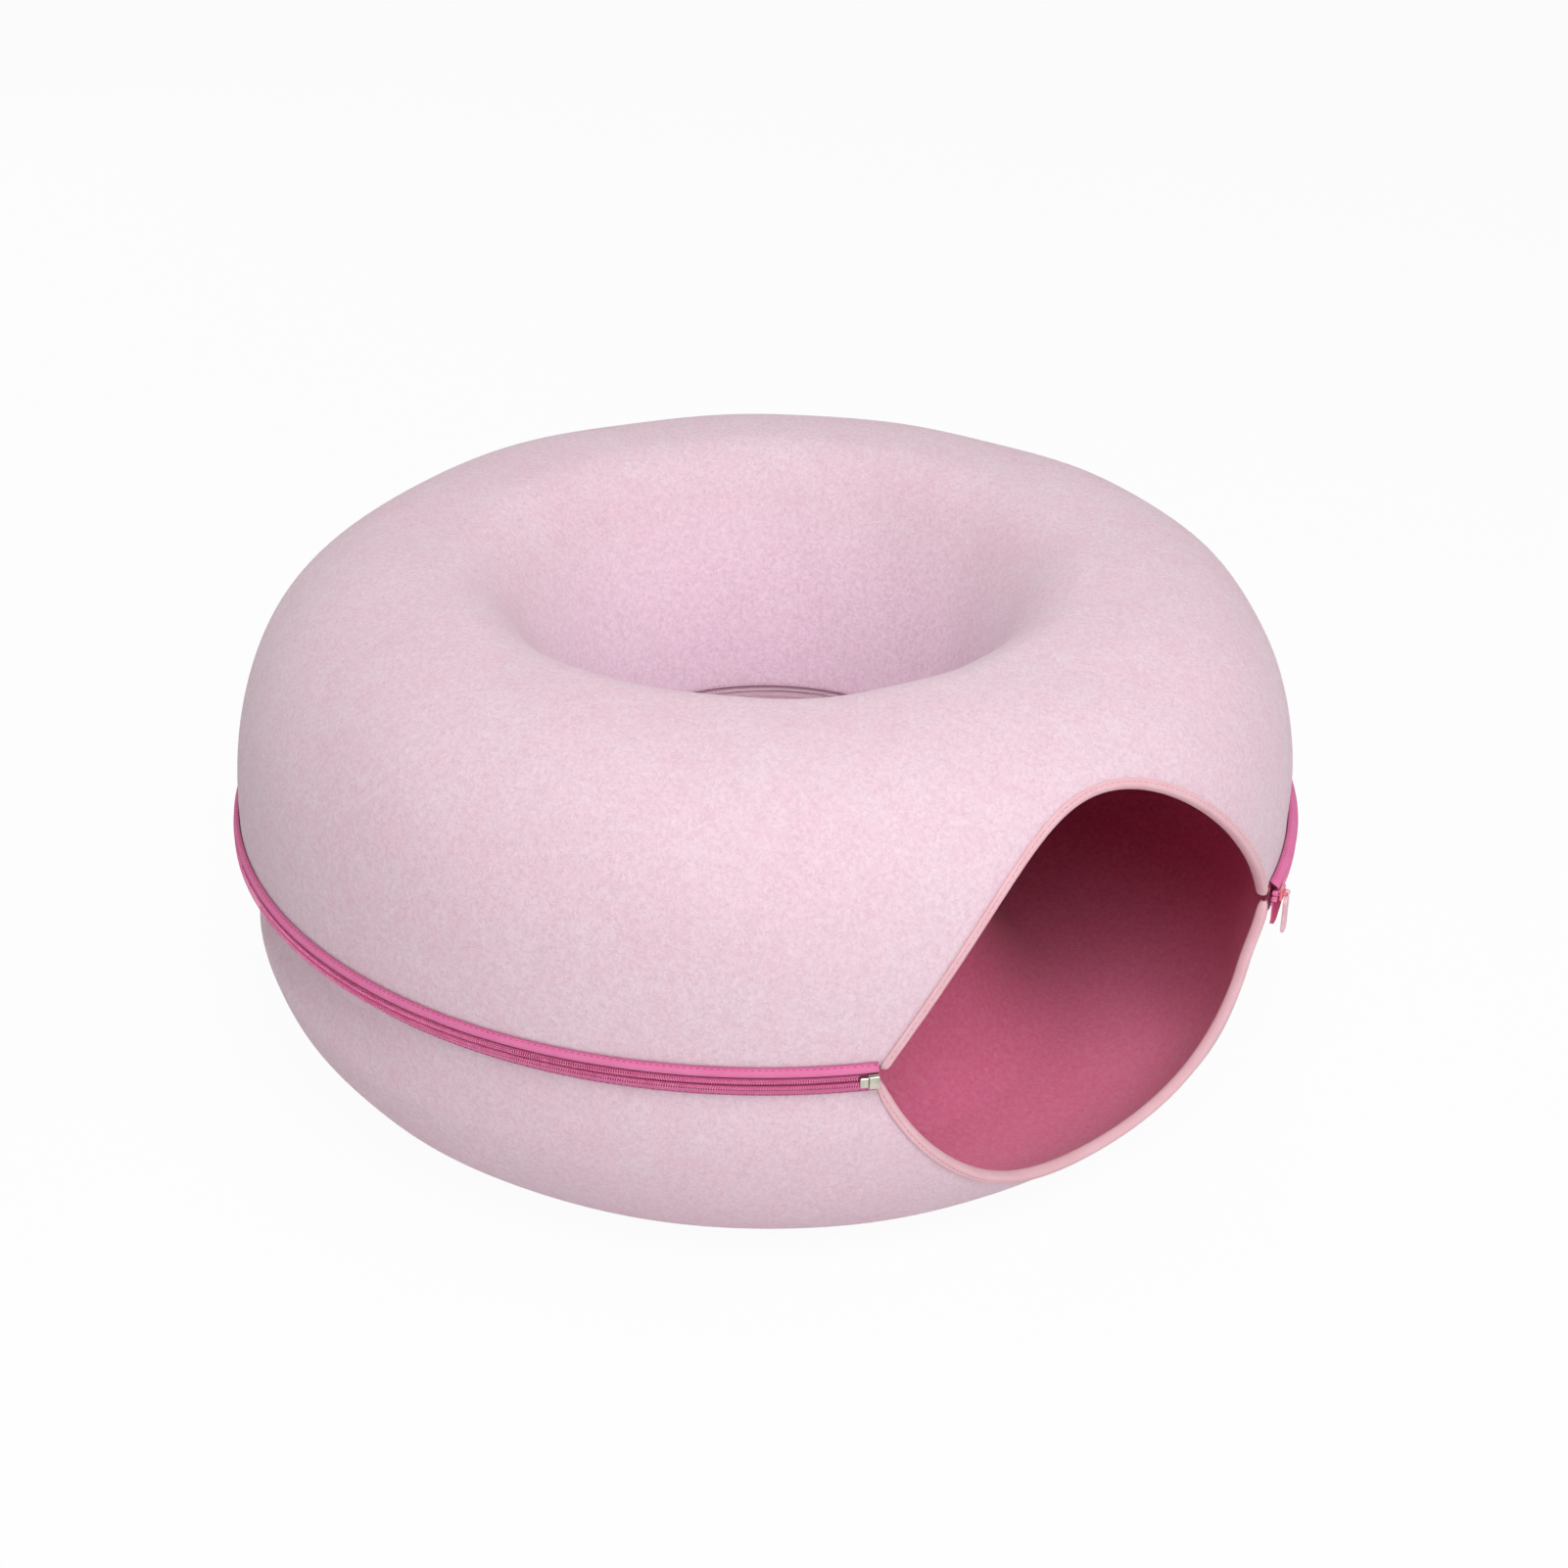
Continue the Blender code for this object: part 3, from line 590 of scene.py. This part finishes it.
binding = {
    "leg": 0.0030, "strip": 0.0009, "gap": 0.0003, "foldReach": 0.0017, "innerDepth": 0.0042, "bulge": 0.0007,
    "edgeThin": 0.45,           # share of the strip's thickness left at its two edges
    "stitchAt": 0.0008, "stitchLength": 0.0026, "stitchPitch": 0.0034, "thread": 0.00026,
    "pathSteps": 210, "searchSteps": 3000, "probe": 0.0003,
    "closeLength": 0.004, "closeSteps": 9,      # at each end of the path, where it steps closer
    # height from the seam at which each half's strip starts beside the slider and beside the retainer
    "start": {1: (0.0050, 0.0036), -1: (0.0008, 0.0052)},
    # how long each end takes to reach full size, and the share of it at the tip
    "ends": {1: ((0.0034, 0.15), (0.0034, 0.15)), -1: ((0.0090, 0.3), (0.0140, 0.3))},
}


def rimPlace(across, height, depth):
    # a place on the rim across from the entrance's middle, moved depth along the felt's normal
    radius = rimRadius(height)
    azimuth = np.arcsin(across / radius) + entrance["azimuth"]
    x = np.clip((radius - ring["crestRadius"]) / ovalReach("rim"), 0.0, 1.0)
    y = np.clip(np.abs(height) / ring["halfHeight"], 0.0, 1.0)
    normal = ovalNormal(x, y, "rim")
    radius = radius - leanIn(height, azimuth) + depth * normal[..., 0]
    return placed(radius, azimuth, height + depth * np.sign(height) * normal[..., 1])


def lengths(points):
    # distance along a line of points to each of them
    return np.concatenate([[0.0], np.cumsum(np.linalg.norm(np.diff(points, axis=0), axis=1))])


def archPath(side):
    # outline points evenly spaced along the arch, with the direction away from the entrance
    rise, c = entrance["rise"][side], entrance["fullness"][side]
    first, last = (math.asin((start / rise) ** (c / 2.0)) for start in binding["start"][side])
    a = np.linspace(first, math.pi - last, binding["searchSteps"])
    s, h = archOutline(a, side)
    length = lengths(rimPlace(s, side * h, 0.0))
    end, probe = binding["closeLength"], binding["probe"]
    close = end * (1.0 - np.cos(np.linspace(0.0, math.pi / 2, binding["closeSteps"])))
    even = np.concatenate([close, np.linspace(end, length[-1] - end, binding["pathSteps"])[1:-1],
                           length[-1] - close[::-1]])
    s, h = archOutline(np.interp(even, length, a), side)
    away = unit(np.stack([2.0 * s / entrance["halfWidth"] ** 2, c * (h / rise) ** (c - 1.0) / rise], -1))
    here = rimPlace(s, side * h, 0.0)
    there = rimPlace(s + away[:, 0] * probe, side * (h + away[:, 1] * probe), 0.0)
    stretch = np.linalg.norm(there - here, axis=-1) / probe
    return s, h, away / stretch[:, None], even


def bindingSection():
    # the strip's middle line: out along the leg, round the fold, back along the inner leg
    leg, half = binding["leg"] - binding["strip"] / 2, binding["strip"] / 2
    top = binding["gap"] + half
    low = -binding["innerDepth"] + half
    q = np.linspace(0.0, 1.0, 16)
    # two soft rolls, one on the felt and one round the fold, with the stitches in the groove between
    x, at = leg * (1 - q), binding["stitchAt"]
    swell = binding["bulge"] * np.where(x > at, np.sin(math.pi * np.clip((x - at) / (leg - at), 0, 1)) ** 0.6,
                                        np.sin(math.pi / 2 * np.clip((at - x) / at, 0, 1)) ** 0.7)
    turn = np.linspace(0.0, math.pi, 16)[1:-1]
    high = top + binding["bulge"]
    fold = together(-binding["foldReach"] * np.sin(turn) ** 0.8, (high + low) / 2 + (high - low) / 2 * np.cos(turn))
    line = np.concatenate([together(x, top + swell), fold, together(leg * q, low)])
    slope = unit(np.gradient(line, axis=0))
    normal = np.stack([-slope[:, 1], slope[:, 0]], -1)
    thick = half * np.ones(len(line))
    thick[[0, -1]] = half * binding["edgeThin"]
    return np.concatenate([line + normal * thick[:, None], (line - normal * thick[:, None])[::-1]])


def makeBinding(name, side, body, solid):
    # the section carried along the arch: (s, h) + away reach, moved depth along the felt's normal
    s, h, away, even = archPath(side)
    section = bindingSection()
    middle = section.mean(0)
    # each end is round: tip + (1 - tip) sqrt(1 - (1 - q)^2)
    draw = np.ones(len(even))
    for (reached, tip), far in zip(binding["ends"][side], (even, even[-1] - even)):
        q = np.clip(far / reached, 0.0, 1.0)
        draw = draw * (tip + (1.0 - tip) * np.sqrt(1.0 - (1.0 - q) ** 2))
    reach, depth = (middle[k] + (section[None, :, k] - middle[k]) * draw[:, None] for k in (0, 1))
    points = rimPlace(s[:, None] + away[:, :1] * reach, side * (h[:, None] + away[:, 1:] * reach), depth)
    piece = tubeObject(name, points, even, lengths(np.vstack([section, section[:1]])))
    finish(piece, "binding", body, "binding", solid)
    # one row of stitches through both legs, seen on the outer one
    count = int(even[-1] / binding["stitchPitch"])
    mid = ((np.arange(count) + 0.5) / count * even[-1])[1:-2]
    face, lift = binding["gap"] + binding["strip"], 0.001
    tips = []
    for offset in (-0.5, 0.5):
        at = mid + offset * binding["stitchLength"]
        ss, hh, a0, a1 = (np.interp(at, even, row) for row in (s, h, away[:, 0], away[:, 1]))
        tips.append((ss + a0 * binding["stitchAt"], side * (hh + a1 * binding["stitchAt"])))
    starts, ends = (rimPlace(*tip, face) for tip in tips)
    ups = unit((rimPlace(*tips[0], face + lift) - starts) / lift)
    makeStitches(name + "Stitches", starts, ends, ups, binding["thread"], "thread", body, "binding")


makeBinding("upperBinding", 1, "upper_half", "upper_entrance_binding")
makeBinding("lowerBinding", -1, "lower_half", "lower_entrance_binding")
print("bindings made")


# zips

def zipEnds(first, last, **more):
    return {"first": math.radians(first), "last": math.radians(last), **more}


def edgeDegrees(gap):
    return math.degrees(math.asin((entrance["halfWidth"] + gap) / ring["rimRadius"]))


# the rim's zip starts where the binding's legs end and runs on to the entrance's other edge
zipKind = {
    "rim": zipEnds(entranceDegrees + edgeDegrees(entrance["sliderGap"]),
                   entranceDegrees + 360.0 - edgeDegrees(entrance["boxGap"]),
                   back=0.2938, outward=1.0, puff=0.0023, flare=0.0011,
                   looks=("tape", "tapeThread", "coil"), slots=("tape", "coil")),
    "well": zipEnds(-42.0, 312.0, back=0.1121, outward=-1.0,
                    looks=("wellTape", "wellThread", "wellCoil"), slots=("well_tape", "well_coil")),
}
tape = {
    "near": 0.00045,
    # distances across from the chain's side to the felt's
    "across": (0.0, 0.0006, 0.0016, 0.0026, 0.0031, 0.0035, 0.0039, 0.0043, 0.0047, 0.0051, 0.0055, 0.0060,
               0.0065, 0.0070, 0.0075, 0.0079, 0.0082, 0.00855),
    "far": 0.009, "thick": 0.0008, "frontEdge": 0.75, "backEdge": 0.2, "stepLength": 0.004,
    "sewn": (0.0042, 0.0090), "rollStarts": (0.0034, 0.0052), "rollEnds": (0.0058, 0.0092), "flareReach": 38.0,
    "stitchAt": 0.0082, "pitch": 0.0032, "stitch": 0.0018, "thread": 0.00022, "wellStitchProud": 0.0002,
}
coil = {
    "near": 0.00078, "root": 0.00296, "front": 0.00338, "rear": 0.00146, "thread": 0.00026, "pitch": 0.00118,
    "middle": 0.0024, "shoulder": 0.0006, "stopRoom": 0.0024, "boxRoom": 0.0096,
    "lag": {1: 0.25, -1: 0.75},     # in pitches, so that the two coils' teeth alternate
}


def tapeRoll(kind, side, azimuth, v):
    # how far the tape's middle stands out: the rim's upper one rolls outward beside the coil, more so by
    # the slider, and its felt-side edge, like the lower one's, goes in with the felt
    z = zipKind[kind]
    if kind == "well":
        return 0.0
    drawn = leanIn(side * tape["far"] + 0.0 * azimuth, azimuth) * smoothStep(v, *tape["sewn"])
    if side < 0:
        return -drawn
    amount = z["puff"] + z["flare"] * nearTo(azimuth, math.degrees(z["first"]), tape["flareReach"])
    return amount * smoothStep(v, *tape["rollStarts"]) * (1.0 - smoothStep(v, *tape["rollEnds"])) - drawn


def makeTape(kind, word, side, body):
    # rings across the tape, front and back: radius back + outward (depth + roll), height side v
    z = zipKind[kind]
    a0, a1 = z["first"], z["last"]
    azimuth = np.linspace(a0, a1, int((a1 - a0) * z["back"] / tape["stepLength"]) + 2)[:, None]
    v = np.array(tape["across"]) + tape["near"]
    front, back = np.full(len(v), tape["thick"]), np.zeros(len(v))
    front[[0, -1]] = tape["thick"] * tape["frontEdge"]
    back[[0, -1]] = tape["thick"] * tape["backEdge"]
    height = np.concatenate([v, v[::-1]])
    depth = np.concatenate([front, back[::-1]])[None] + tapeRoll(kind, side, azimuth, height[None])
    points = placed(z["back"] + z["outward"] * depth, azimuth, side * height[None])
    piece = tubeObject(kind + word + "Tape", points, azimuth[:, 0] * z["back"], np.append(height, v[0]))
    finish(piece, z["looks"][0], body, z["slots"][0], kind + "_" + word.lower() + "_tape")
    # a row of stitches by the tape's edge
    count = int((a1 - a0) * z["back"] / tape["pitch"])
    mid = a0 + (np.arange(count) + 0.5) / count * (a1 - a0)
    swing = tape["stitch"] / 2 / z["back"]
    face = z["back"] + z["outward"] * (tape["thick"] + tapeRoll(kind, side, mid, tape["stitchAt"]))
    if kind == "well":
        face = ring["wellRadius"] - tape["wellStitchProud"]
    starts, ends = (placed(face, mid + turn, side * tape["stitchAt"]) for turn in (-swing, swing))
    ups = together(np.cos(mid), np.sin(mid), 0.0) * z["outward"]
    makeStitches(kind + word + "TapeStitches", starts, ends, ups, tape["thread"],
                 z["looks"][1], body, z["slots"][0])


def makeCoil(kind, word, side, body):
    # each tooth is a thread: front leg from the root to the head, round the head, back leg to the next root
    z = zipKind[kind]
    a0 = z["first"] + coil["stopRoom"] / z["back"]
    a1 = z["last"] - coil["boxRoom"] / z["back"]
    count = int((a1 - a0) * (z["back"] + z["outward"] * coil["middle"]) / coil["pitch"])
    centre = a0 + (np.arange(count) + coil["lag"][side]) / count * (a1 - a0)
    centre = centre[centre < a1]
    # tangential place, height and depth of the thread's middle
    p, shoulder, front, rear = (coil[key] for key in ("pitch", "shoulder", "front", "rear"))
    path = np.array([
        (-0.30 * p, coil["root"], front - 0.0004),
        (-0.22 * p, coil["root"] - shoulder, front),
        (0.00 * p, coil["near"] + shoulder, front),
        (0.08 * p, coil["near"], (front + rear) / 2),
        (0.16 * p, coil["near"] + shoulder, rear),
        (0.45 * p, coil["root"], rear),
    ])
    slope = unit(np.gradient(path, axis=0))
    first = unit(np.cross(slope, np.array([1.0, 0.0, 0.0])))
    turns = threadTurns(first, np.cross(slope, first))
    tube = (path[:, None] + coil["thread"] * turns).reshape(-1, 3)
    azimuth = centre[:, None] + tube[None, :, 0] / z["back"]
    points = placed(z["back"] + z["outward"] * tube[None, :, 2], azimuth, side * tube[None, :, 1])
    piece = meshObject(kind + word + "Coil", points.reshape(-1, 3), threadCells(len(path), len(centre)))
    finish(piece, z["looks"][2], body, z["slots"][1], kind + "_" + word.lower() + "_coil")


for kind in zipKind:
    for word, side, body in (("Upper", 1, "upper_half"), ("Lower", -1, "lower_half")):
        makeTape(kind, word, side, body)
        makeCoil(kind, word, side, body)
print("tapes and coils made")


# the lower tape's loose end

tail = {
    "azimuth": -15.9, "width": 0.0080, "thick": 0.0009, "top": 0.0042, "length": 0.0165, "swing": -0.0006,
    "radius": 0.2964, "drawIn": 0.0012, "turned": 0.34, "rows": 26, "curl": 0.0003, "ripple": 0.0006,
    "taper": 0.08, "tip": 0.4, "roundFrom": 0.10,
}


def makeTail():
    # a strip folded down by the slider: across = width/2 cos b, depth = thick/2 sin b - drawIn t^1.5
    t = np.linspace(0.0, 1.0, tail["rows"])[:, None]
    b = circle(20)[None]
    shape = signedPower(np.cos(b), 0.5)
    endRound = np.sqrt(np.clip((1.0 - t) / tail["roundFrom"], 0.0, 1.0)) * (1.0 - tail["tip"]) + tail["tip"]
    side = tail["width"] / 2 * shape * (1.0 - tail["taper"] * t) * endRound
    across = side + tail["swing"] * t ** 1.3
    depth = (tail["thick"] / 2 * np.sin(b) + tail["curl"] * np.sin(5.0 * t + 0.4) * shape
             + tail["turned"] * side - tail["drawIn"] * t ** 1.5)
    down = tail["top"] + tail["length"] * t + tail["ripple"] * np.sin(3.0 * shape + 1.0) * t
    points = placed(tail["radius"] + depth, math.radians(tail["azimuth"]) + across / tail["radius"], -down)
    # the uvs carry on from the tape's own, with its pale edge at 8 mm
    widths = np.append(0.0045 + 0.0035 * np.abs(shape[0]), 0.008)
    piece = tubeObject("rimLowerTapeEnd", points, 0.005 + tail["length"] * t[:, 0], widths)
    finish(piece, "tail", "lower_half", "tape")


makeTail()
print("loose tape end made")


# sliders and pulls

slider = {
    "flats": math.radians(3.0),     # half the angle of one of the CAD ring's facets
    "restAt": 0.0070, "innerFace": 0.0040, "rearFace": 0.0003,
    "length": 0.0092, "nose": 0.0088, "tail": 0.0066, "plate": 0.0012, "rearPlate": 0.0008, "crown": 0.00035,
    "post": (0.0005, 0.0026), "flange": 0.0006, "flangeFrom": 0.0011, "flangeAt": 0.00335, "overlap": 0.0004,
    "legAt": 0.00255, "leg": 0.00048, "bar": 0.0007, "sunk": 0.0003, "pivotAbovePlate": 0.0018,
}
# rings of a plate from the middle of its face, over the rim, to the middle of its back: share of its
# outline, share of its thickness, share of its crown
plateRings = np.array([
    (0.0, 1.0, 1.0), (0.35, 1.0, 0.9), (0.65, 1.0, 0.6), (0.85, 1.0, 0.25), (0.95, 0.93, 0.05), (1.0, 0.72, 0.0),
    (1.0, 0.28, 0.0), (0.95, 0.07, 0.0), (0.85, 0.0, 0.0), (0.4, 0.0, 0.0), (0.0, 0.0, 0.0),
])
pull = {
    "length": 0.0242, "width": 0.0079, "thick": 0.0020, "neck": 0.0018, "bore": 0.0009, "wall": 0.0006,
    "top": 0.0011, "shoulder": (0.0012, 0.0056), "waist": 0.0003, "recess": 0.00026, "rib": 0.00010,
    "ribPitch": 0.0013,
    # the sunk face and its ribs: where each starts from the eye and ends from the foot, and the rim's width
    "sunkStarts": (0.0072, 0.0082), "sunkEnds": (0.0042, 0.0032), "rimStarts": (0.58, 0.74),
    "gripStarts": (0.0125, 0.0135), "gripEnds": (0.0068, 0.0058),
}


def joinShells(name, shells, place):
    # several closed shells in one piece; each is (points (rows, columns, 3), wraps its rows), or else
    # its two ends are drawn to their middles, and an end ring that is a point already is left out
    allPoints, allQuads, allFans, start = [], [], [], 0
    for points, wrapRows in shells:
        flat, fans = points.reshape(-1, 3), noFans
        if not wrapRows:
            ends = points[[0, -1]]
            first, last = np.ptp(ends, axis=1).max(1) < 1e-6
            points = points[int(first):len(points) - int(last)]
            flat, fans = np.vstack([points.reshape(-1, 3), ends.mean(1)]), endFans(*points.shape[:2])
        quads, _ = gridQuads(*points.shape[:2], wrapRows=wrapRows, wrapColumns=True)
        if signedVolume(flat, np.vstack([quads, fans])) < 0:
            quads, fans = quads[:, ::-1], fans[:, [0, 2, 1, 1]]
        allPoints.append(flat)
        allQuads.append(quads + start)
        allFans.append(fans + start)
        start += len(flat)
    return meshObject(name, place(np.vstack(allPoints)), np.vstack(allQuads), np.vstack(allFans))


def softBlock(low, high, sharp=0.28):
    # superquadric: centre + half (cos^e v cos^e u, cos^e v sin^e u, sin^e v)
    low, high = np.minimum(low, high), np.maximum(low, high)
    v = np.linspace(-math.pi / 2, math.pi / 2, 15)[:, None]
    u = circle(28)[None]
    wide = signedPower(np.cos(v), sharp)
    cube = together(wide * signedPower(np.cos(u), sharp), wide * signedPower(np.sin(u), sharp),
                    signedPower(np.sin(v), sharp))
    return (low + high) / 2 + (high - low) / 2 * cube


def platePoints(low, high, crown):
    # outline y = L/2 cos^0.55 u, z = half width sin^0.55 u, narrower to the tail, scaled by each ring's share
    share, level, dome = (plateRings[:, k, None] for k in range(3))
    u = circle(48)[None]
    reach, nose = slider["length"] / 2, slider["nose"]
    y = reach * signedPower(np.cos(u), 0.55)
    half = np.where(y < 0, nose, nose + (slider["tail"] - nose) * y / reach) / 2
    z = half * signedPower(np.sin(u), 0.55)
    return together(low + (high - low) * level + crown * dome, y * share, z * share)


def sliderLayers(kind):
    # distances from the tape's back, as the CAD has them, with the ring's flats allowed for
    sag = zipKind[kind]["back"] * (1.0 - math.cos(slider["flats"]))
    inner = slider["innerFace"] + sag
    outer = inner + slider["plate"]
    return sag, inner, outer, outer + slider["pivotAbovePlate"]


def sliderPlace(kind, out=0.0):
    # puts (depth, along, up) at the slider's place at rest
    z = zipKind[kind]

    def place(points):
        depth, along, up = points.T
        local = np.stack([z["back"] + z["outward"] * (depth + out), along, up + ring["seamHeight"]], -1)
        return spun(local, z["first"] + slider["restAt"] / z["back"])

    return place


def makeSlider(kind):
    sag, inner, outer, pivot = sliderLayers(kind)
    half, sunk, leg = slider["length"] / 2, slider["sunk"], slider["leg"]
    rearTop = -slider["rearFace"] - sag
    # bridge: a rounded arch from leg to leg, a bar in its middle, y = legAt cos^0.35 a, n = rise sin^0.35 a
    a = np.linspace(0.0, math.pi, 41)[:, None]
    b = circle(16)[None]
    y = -slider["legAt"] * signedPower(np.cos(a), 0.35)
    n = outer - sunk + (pivot - outer + sunk) * np.sin(a) ** 0.35
    slope = unit(np.gradient(np.concatenate([y, n], 1), axis=0))
    thick = leg + (slider["bar"] - leg) * smoothStep(np.sin(a), 0.75, 0.95)
    bridge = together(n + thick * np.cos(b) * slope[:, :1], y - thick * np.cos(b) * slope[:, 1:],
                      slider["bar"] * np.sin(b))
    postThick, postLength = slider["post"]
    flangeTop, overlap = -slider["flangeAt"], slider["overlap"]
    shells = [
        (platePoints(inner, outer, slider["crown"]), False),
        (platePoints(rearTop - slider["rearPlate"], rearTop, 0.0), False),
        (bridge, False),
        (softBlock((rearTop - overlap / 2, -half, -postThick / 2),
                   (inner + overlap, -half + postLength, postThick / 2)), False),
        (softBlock((slider["flangeFrom"] + sag, -half / 2, flangeTop),
                   (inner + overlap, half / 2, flangeTop - slider["flange"])), False),
    ]
    piece = joinShells(kind + "SliderBody", shells, sliderPlace(kind))
    finish(piece, "slider", kind + "_slider_body", "slider", kind + "_slider")


def makePull(kind):
    # a paddle: width shoulders out from the neck, is waisted, and ends round; its face is sunk inside a rim
    pivot = sliderLayers(kind)[-1]
    half, neck, length = pull["width"] / 2, pull["neck"], pull["length"]

    def fromFoot(key):
        return [length - far for far in pull[key]]

    down = np.concatenate([np.linspace(pull["top"], length - half, 64),
                           length - half + half * np.sin(np.linspace(0.0, math.pi / 2, 15)[1:])])[:, None]
    low, high = pull["shoulder"]
    wide = neck + (half - neck) * smoothStep(down, low, high)
    wide = wide - pull["waist"] * np.sin(math.pi * np.clip((down - high) / (length - half - high), 0.0, 1.0))
    foot = np.clip((down - (length - half)) / half, 0.0, 1.0)
    wide = wide * np.sqrt(np.clip(1.0 - foot ** 2, 0.0, 1.0))
    u = circle(48)[None]
    across, face = signedPower(np.cos(u), 0.4), signedPower(np.sin(u), 0.4)
    sunk = (smoothStep(down, *pull["sunkStarts"]) * (1.0 - smoothStep(down, *fromFoot("sunkEnds")))
            * (1.0 - smoothStep(np.abs(across), *pull["rimStarts"])))
    grip = smoothStep(down, *pull["gripStarts"]) * (1.0 - smoothStep(down, *fromFoot("gripEnds")))
    relief = sunk * (pull["recess"] - pull["rib"] * grip * (1.0 + np.sin(down * math.tau / pull["ribPitch"])))
    thick = pull["thick"] / 2 * np.sqrt(np.clip(1.0 - foot ** 4, 0.0, 1.0))
    tab = together(face * (thick - relief * (np.abs(face) > 0.9)), wide * across, -down)
    # the eye: a sleeve turned round the bar, (radius, place along it) on a rounded rectangle
    turn = circle(28)[:, None]
    c, s = np.cos(u[:, ::3]), np.sin(u[:, ::3])
    radius = pull["bore"] + pull["wall"] / 2 + pull["wall"] / 2 * signedPower(c, 0.5)
    eye = together(radius * np.cos(turn), neck * signedPower(s, 0.3), radius * np.sin(turn))
    piece = joinShells(kind + "PullTab", [(tab, False), (eye, True)], sliderPlace(kind, pivot))
    finish(piece, "pull", kind + "_pull_body", "slider", kind + "_pull")


for kind in zipKind:
    makeSlider(kind)
    makePull(kind)
print("sliders and pulls made")


# hard parts kept from the frame

for kind in zipKind:
    for name in ("retainer_box", "insertion_pin", "upper_top_stop", "lower_top_stop"):
        look = zipKind[kind]["looks"][2] if name.endswith("stop") else "retainer"
        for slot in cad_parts[kind + "_" + name].material_slots:
            slot.material = finishes[look]
print("hard parts finished")


# floor, light and camera

seamMiddle = Vector((0.0, 0.0, ring["seamHeight"]))
studio = {
    "floorReach": 4.0, "floorCells": 8, "floorDrop": 0.0002, "floorColour": (238, 238, 240),
    "whiten": 0.95,         # share of plain white that the camera sees in the floor
    "ambient": 0.2,
}
lamps = {                   # place, power in watts and width
    "key": ((0.45, -1.75, 2.1), 44.5, 1.6),
    "top": ((0.1, 0.1, 2.4), 9.5, 1.2),
    "fill": ((1.9, -0.6, 1.1), 5.2, 1.4),
    "back": ((-1.5, 1.35, 0.95), 6.0, 1.6),
}
# azimuth, elevation and distance from the seam's middle, fitted to the photograph's outline
view = {"azimuth": -82.1, "elevation": 29.0, "distance": 1.4925, "lens": 60.3, "sensor": 36.0,
        "shift": (0.0119, -0.0024)}


def aimed(thing, place):
    thing.location = place
    thing.rotation_euler = (seamMiddle - thing.location).to_track_quat("-Z", "Y").to_euler()


def seenPlainly(tree):
    # 1 for the camera's rays, also by way of a gloss or through a surface
    rays = node(tree, "ShaderNodeLightPath").outputs
    return maths(tree, "MAXIMUM", rays["Is Camera Ray"],
                 maths(tree, "MAXIMUM", rays["Is Glossy Ray"], rays["Is Transmission Ray"]))


def makeFloor():
    # a flat sheet a little below the felt's base
    count = studio["floorCells"] + 1
    u = np.linspace(-studio["floorReach"], studio["floorReach"], count)
    points = together(u[:, None], u[None], -studio["floorDrop"])
    quads, _ = gridQuads(count, count)
    mesh = bpy.data.meshes.new("floor")
    mesh.from_pydata(points.reshape(-1, 3).tolist(), [], quads[:, ::-1].tolist())
    floor = newObject("floor", mesh)
    material, tree, shader = newMaterial("paleFloor", {"Base Color": linear(*studio["floorColour"]),
                                                       "Roughness": 0.8, "Specular IOR Level": 0.2})
    # the camera sees the floor lifted towards white, and its shadow stays
    glow = node(tree, "ShaderNodeEmission", {"Color": (1.0, 1.0, 1.0, 1.0), "Strength": 1.0})
    mix = node(tree, "ShaderNodeMixShader", {0: maths(tree, "MULTIPLY", seenPlainly(tree), studio["whiten"]),
                                             1: shader.outputs[0], 2: glow.outputs[0]})
    tree.links.new(mix.outputs[0], tree.nodes["Material Output"].inputs["Surface"])
    mesh.materials.append(material)


def makeLight(name, place, power, size):
    lamp = bpy.data.lights.new(name, "AREA")
    lamp.energy = power
    lamp.shape = "DISK"
    lamp.size = size
    aimed(newObject(name, lamp), place)


def makeWorld():
    world = bpy.data.worlds.new("studio")
    world.use_nodes = True
    tree = world.node_tree
    back = tree.nodes["Background"]
    back.inputs["Color"].default_value = (1.0, 1.0, 1.0, 1.0)
    tree.links.new(spread(tree, seenPlainly(tree), 0.0, 1.0, studio["ambient"], 1.0), back.inputs["Strength"])
    bpy.context.scene.world = world


def makeCamera():
    lens = bpy.data.cameras.new("photograph")
    lens.lens = view["lens"]
    lens.sensor_width = view["sensor"]
    lens.shift_x, lens.shift_y = view["shift"]
    camera = newObject("photograph", lens)
    a, e = math.radians(view["azimuth"]), math.radians(view["elevation"])
    toCamera = Vector((math.cos(e) * math.cos(a), math.cos(e) * math.sin(a), math.sin(e)))
    aimed(camera, seamMiddle + toCamera * view["distance"])
    bpy.context.scene.camera = camera


makeFloor()
for name in lamps:
    makeLight(name, *lamps[name])
makeWorld()
makeCamera()
bpy.context.scene.view_settings.view_transform = "Standard"
print("studio set")
